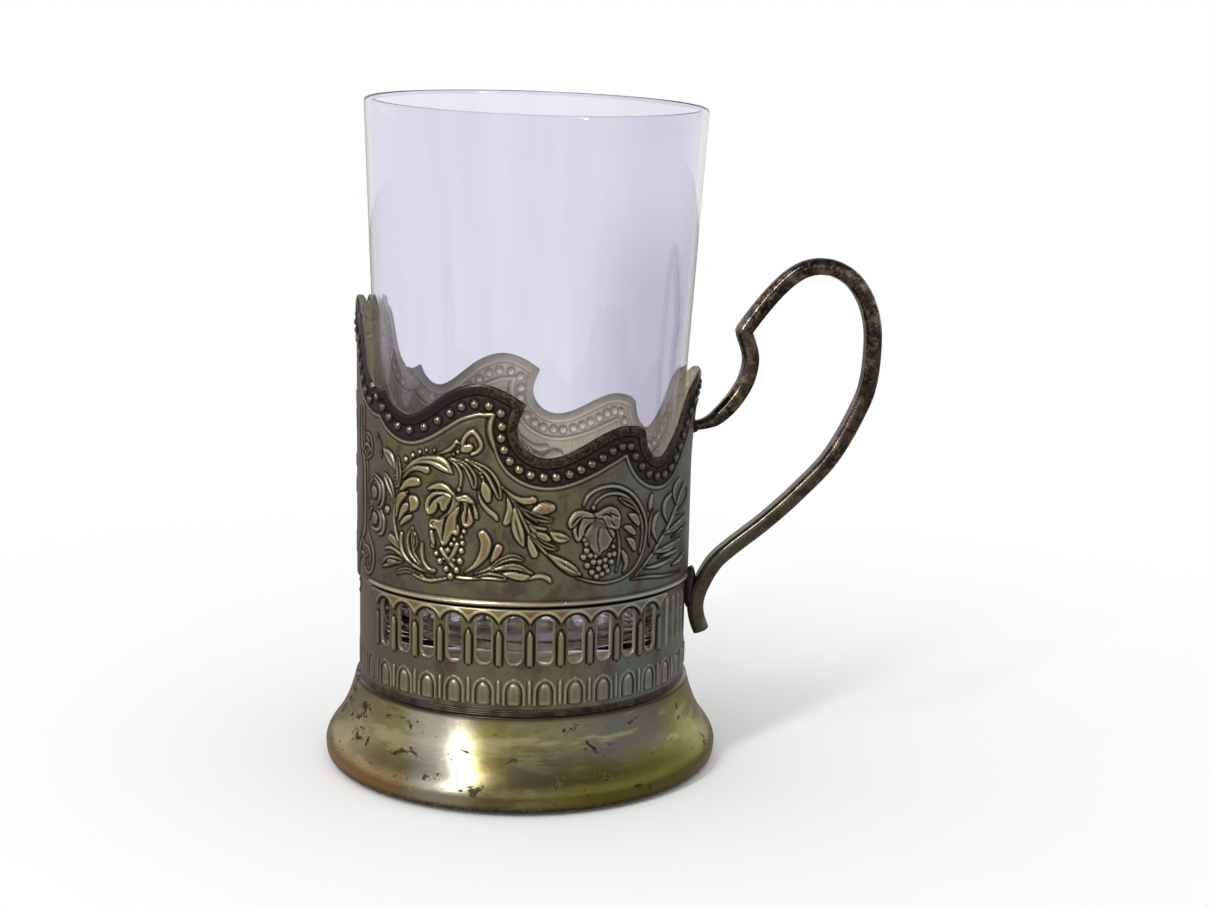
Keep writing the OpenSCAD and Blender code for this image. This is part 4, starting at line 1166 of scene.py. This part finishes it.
def dullMetal(name, first, second, low, metallic=0.85):
    metal = Recipe(name)
    cloud = metal.noise(3.5, 5, 0.6, twist=0.5)
    grain = metal.noise(0.45, 4, 0.7)
    colour = metal.blend(cloud.between(0.35, 0.65), first, second)
    return metal.finish(Base_Color=colour, Metallic=metallic, Roughness=low + grain * 0.25,
                        Normal=metal.bump(grain + cloud, 0.05, 0.5))


def makeFoot():
    rows = [smoothRun(foot["outer"], 3), smoothRun(foot["inner"], 2), foot["plate"]]
    piece = asPiece(turned([tuple(p) for row in rows for p in row]), "foot_bell", footMetal())
    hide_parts("foot")


def makeRing():
    r = (ring["to"] - ring["from"]) / ring["ribs"] / 2
    profile = [(ring["in"], ring["from"])]
    for k in range(ring["ribs"]):
        profile += arc((ring["out"] - r, ring["from"] + (2 * k + 1) * r), r, -80, 80, 20)
    profile.append((ring["in"], ring["to"]))
    # painted shade: the ring is coloured dark where it sits in the sleeve's shadow
    metal = dullMetal("ring_metal", (0.07, 0.055, 0.045), (0.17, 0.13, 0.09), 0.3)
    piece = asPiece(turned(profile), "ring_ribs", metal)
    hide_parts("foot_ring")


makeFoot()
makeRing()
for name, metal in (
        ("glass_seat", dullMetal("seat_metal", (0.42, 0.34, 0.16), (0.62, 0.54, 0.30), 0.45, 0.6)),
        ("seam_solder", dullMetal("seam_metal", (0.46, 0.44, 0.38), (0.62, 0.60, 0.54), 0.5, 0.5))):
    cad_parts[name].data.materials.clear()
    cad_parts[name].data.materials.append(metal)
print("foot, ring and seat done")


# the glass

glass = {
    "base": 20.9, "height": 114.4, "lip": 35.0, "foot": 29.5, "wall": 1.3,
    "floor": 7.0, "corner": 3.2, "bowl": 6.0,
    # how it stands in the photo: to one side, leaning, a little off its seat
    "aside": 0.35, "lean": 0.62, "lift": 0.3,
}


def glassWall(low, high, inset):
    # eleven steps up the flared wall, as far inside its outer face as the inset
    slope = (glass["lip"] - glass["foot"]) / glass["height"]
    rise = [low + (high - low) * k / 11 for k in range(1, 12)]
    return [(glass["foot"] + slope * h - inset, glass["base"] + h) for h in rise]


def makeGlass():
    g = glass
    z0 = g["base"]
    profile = [(0, z0 + 0.8), (g["foot"] - 8, z0 + 0.7), (g["foot"] - 5.5, z0 + 0.15),
               (g["foot"] - 4.6, z0)]
    profile += arc((g["foot"] - g["corner"], z0 + g["corner"]), g["corner"], -90, 0, 10)
    profile += glassWall(g["corner"], g["height"] - 1, 0)
    r = g["wall"] / 2
    profile += arc((g["lip"] - r - 0.02, z0 + g["height"] - r), r, 0, 180, 20)
    bottom = g["floor"] + g["bowl"]
    profile += glassWall(bottom, g["height"] - 1, g["wall"])[::-1]
    slope = (g["lip"] - g["foot"]) / g["height"]
    inner = g["foot"] - g["wall"] + slope * bottom
    profile += arc((inner - g["bowl"], z0 + bottom), g["bowl"], 0, -90, -10)
    profile.append((0, z0 + g["floor"]))
    bm = turned(profile, closed=False)
    stand = Matrix.Translation((g["aside"], 0, z0))
    stand = stand @ Matrix.Rotation(math.radians(g["lean"]), 4, "Y")
    stand = stand @ Matrix.Translation((0, 0, g["lift"] - z0))
    bmesh.ops.transform(bm, matrix=stand, verts=bm.verts)
    piece = asPiece(bm, "tea_glass_clear", glassStuff(), "glass")
    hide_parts("tea_glass")


def glassStuff():
    pane = Recipe("thin_clear_glass")
    dust = pane.noise(1.2, 3, 0.6, scale=(1, 1, 0.3))
    streak = pane.noise(7, 3, 0.6, scale=(1, 1, 0.12))
    shade = pane.axis("X").between(6, 27) * (1 - pane.axis("Z").between(96, 122) * 0.7)
    tint = pane.coats(
        (0.875, 0.866, 0.935),
        (streak.between(0.35, 0.65), (0.845, 0.838, 0.912)),
        (shade, (0.71, 0.70, 0.78)))
    waves = pane.bump(pane.noise(18, 2, scale=(1, 1, 0.2)), 0.06, 0.3)
    # its alpha lets most of the light through to the metal behind it
    return pane.finish(Base_Color=tint, Roughness=dust.between(0.62, 0.8) * 0.03, IOR=1.46,
                       Alpha=1 - pane.ray("Shadow") * 0.85, Transmission_Weight=1.0, Normal=waves)


makeGlass()
print("glass blown")


# the handle and its solder

handle = {
    "neck": [(35.6, 70.4), (37.9, 71.0), (40.2, 72.3), (43.4, 75.7), (46.0, 80.2), (46.8, 85.2),
             (45.2, 90.4)],
    "loop": [(45.2, 90.4), (47.8, 94.1), (51.0, 98.1), (54.3, 101.4), (57.4, 103.3), (60.7, 103.9),
             (64.2, 103.2), (67.6, 100.9), (70.4, 96.4), (71.8, 90.2), (71.4, 80.9), (69.3, 74.2),
             (64.1, 64.4), (57.2, 56.6), (50.7, 50.4), (43.9, 44.8), (40.3, 41.3), (37.7, 36.6),
             (36.6, 32.9), (36.8, 29.5), (37.9, 26.5)],
    "thick": 3.9, "wide": 5.4,
    # the share of both at the upper joint, and the rows over which they grow to full size
    "thin": (0.56, 24), "narrow": (0.72, 20),
    "bevel": 0.35,
}

solder = {
    # centre, half sizes, where its waves begin, and the node that it stands for
    "solder_upper_lump": ((35.5, 0, 70.3), (0.75, 2.2, 1.5), 1.0, "upper_solder"),
    "solder_lower_lump": ((35.3, 0, 36.0), (1.3, 2.4, 4.6), 2.2, "lower_solder"),
}


def sectionRing(bm, thick, wide):
    # a half round bar: a circle of 20, flattened on the finger side, with rounded corners
    ringVerts = bmesh.ops.create_circle(bm, segments=20, radius=1)["verts"]
    for v in ringVerts:
        a = math.atan2(v.co.y, v.co.x)
        out = math.copysign(abs(math.cos(a)) ** 0.75, math.cos(a))
        side = math.copysign(abs(math.sin(a)) ** 0.8, math.sin(a))
        v.co = (max(out, -0.78) * thick / 2, side * wide / 2, 0)
    return ringVerts


def grown(share, rows, i):
    return share + (1 - share) * soft(0, rows, i)


def makeHandle():
    # one ring of the section, extruded row by row and then laid along the line
    line = np.vstack([smoothRun(handle["neck"], 8)[:-1], smoothRun(handle["loop"], 8)])
    bm = bmesh.new()
    rows = [list(sectionRing(bm, handle["thick"], handle["wide"]))]
    shape = [v.co.copy() for v in rows[0]]
    edges = list(bm.edges)
    for _ in line[1:]:
        made = bmesh.ops.extrude_edge_only(bm, edges=edges)["geom"]
        verts = [g for g in made if isinstance(g, bmesh.types.BMVert)]
        edges = [g for g in made if isinstance(g, bmesh.types.BMEdge)
                 and all(v in verts for v in g.verts)]
        rows.append(verts)
    # each row lies square to the line, and the first one square to the sleeve
    ahead = np.diff(line, axis=0)
    ahead /= np.hypot(*ahead.T)[:, None]
    ahead = np.vstack([ahead, ahead[-1:]])
    for i, row in enumerate(rows):
        along = ahead[i - 1] + ahead[i] if i else np.array([1.0, 0.0])
        along /= np.hypot(*along)
        out = np.array([-along[1], along[0]])
        for v, c in zip(row, shape):
            x, z = line[i] + out * c.x * grown(*handle["thin"], i)
            v.co = (x, c.y * grown(*handle["narrow"], i), z)
    for row in (rows[0], rows[-1]):
        bmesh.ops.contextual_create(bm, geom=row)
    bmesh.ops.recalc_face_normals(bm, faces=bm.faces)
    ends = [e for e in bm.edges if e.calc_face_angle(0) > 0.9 and len(e.link_faces) == 2
            and any(len(f.verts) > 4 for f in e.link_faces)]
    bmesh.ops.bevel(bm, geom=ends, offset=handle["bevel"], offset_type="OFFSET", segments=2,
                    profile=0.5, affect="EDGES", material=-1)
    piece = asPiece(bm, "handle_bar", handleMetal())
    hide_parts("handle")


def handleMetal():
    metal = Recipe("brown_patina_bar")
    cloud = metal.noise(5, 5, 0.6, twist=0.6)
    rub = metal.noise(1.8, 6, 0.7, scale=(1, 0.4, 1))
    grain = metal.noise(0.35, 4, 0.7)
    pale = metal.noise(0.9, 5, 0.75)
    across, height = metal.axis("Y"), metal.axis("Z")
    colour = metal.coats(
        (0.028, 0.024, 0.020),
        (cloud.between(0.38, 0.62), (0.15, 0.12, 0.095)),
        (rub.between(0.50, 0.62) * 0.6, (0.44, 0.34, 0.22)),
        (pale.between(0.56, 0.64) * height.between(76, 98) * 0.6, (0.55, 0.48, 0.46)),
        ((1 - height.between(44, 76)) * 0.5, (0.22, 0.20, 0.15)),
        # painted shade on the far side of the bar
        (across.between(1.2, 2.4) * 0.5, (0.05, 0.04, 0.03)))
    rough = 0.05 + grain * 0.06 + cloud * 0.12
    bumps = metal.bump(grain + 1.4 * rub, 0.02, 0.45)
    return metal.finish(Base_Color=colour, Metallic=0.95, Roughness=rough, Normal=bumps)


def lump(name, centre, size, phase, node):
    # solder: a ball pressed and pulled into a lump
    bm = bmesh.new()
    bmesh.ops.create_icosphere(bm, subdivisions=4, radius=1)
    for v in bm.verts:
        d = v.co.normalized()
        wave = (math.sin(3.1 * d.x + phase) * math.sin(2.7 * d.z + 1.3 * phase) * 0.13
                + math.sin(7.3 * d.y + phase) * math.sin(6.1 * d.z) * 0.05)
        v.co = Vector(centre) + d * (1 + wave) * Vector(size)
    metal = dullMetal(name + "_metal", (0.045, 0.04, 0.035), (0.13, 0.115, 0.09), 0.35)
    piece = asPiece(bm, name, metal)
    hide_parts(node)


makeHandle()
for name, how in solder.items():
    lump(name, *how)
print("handle soldered on")
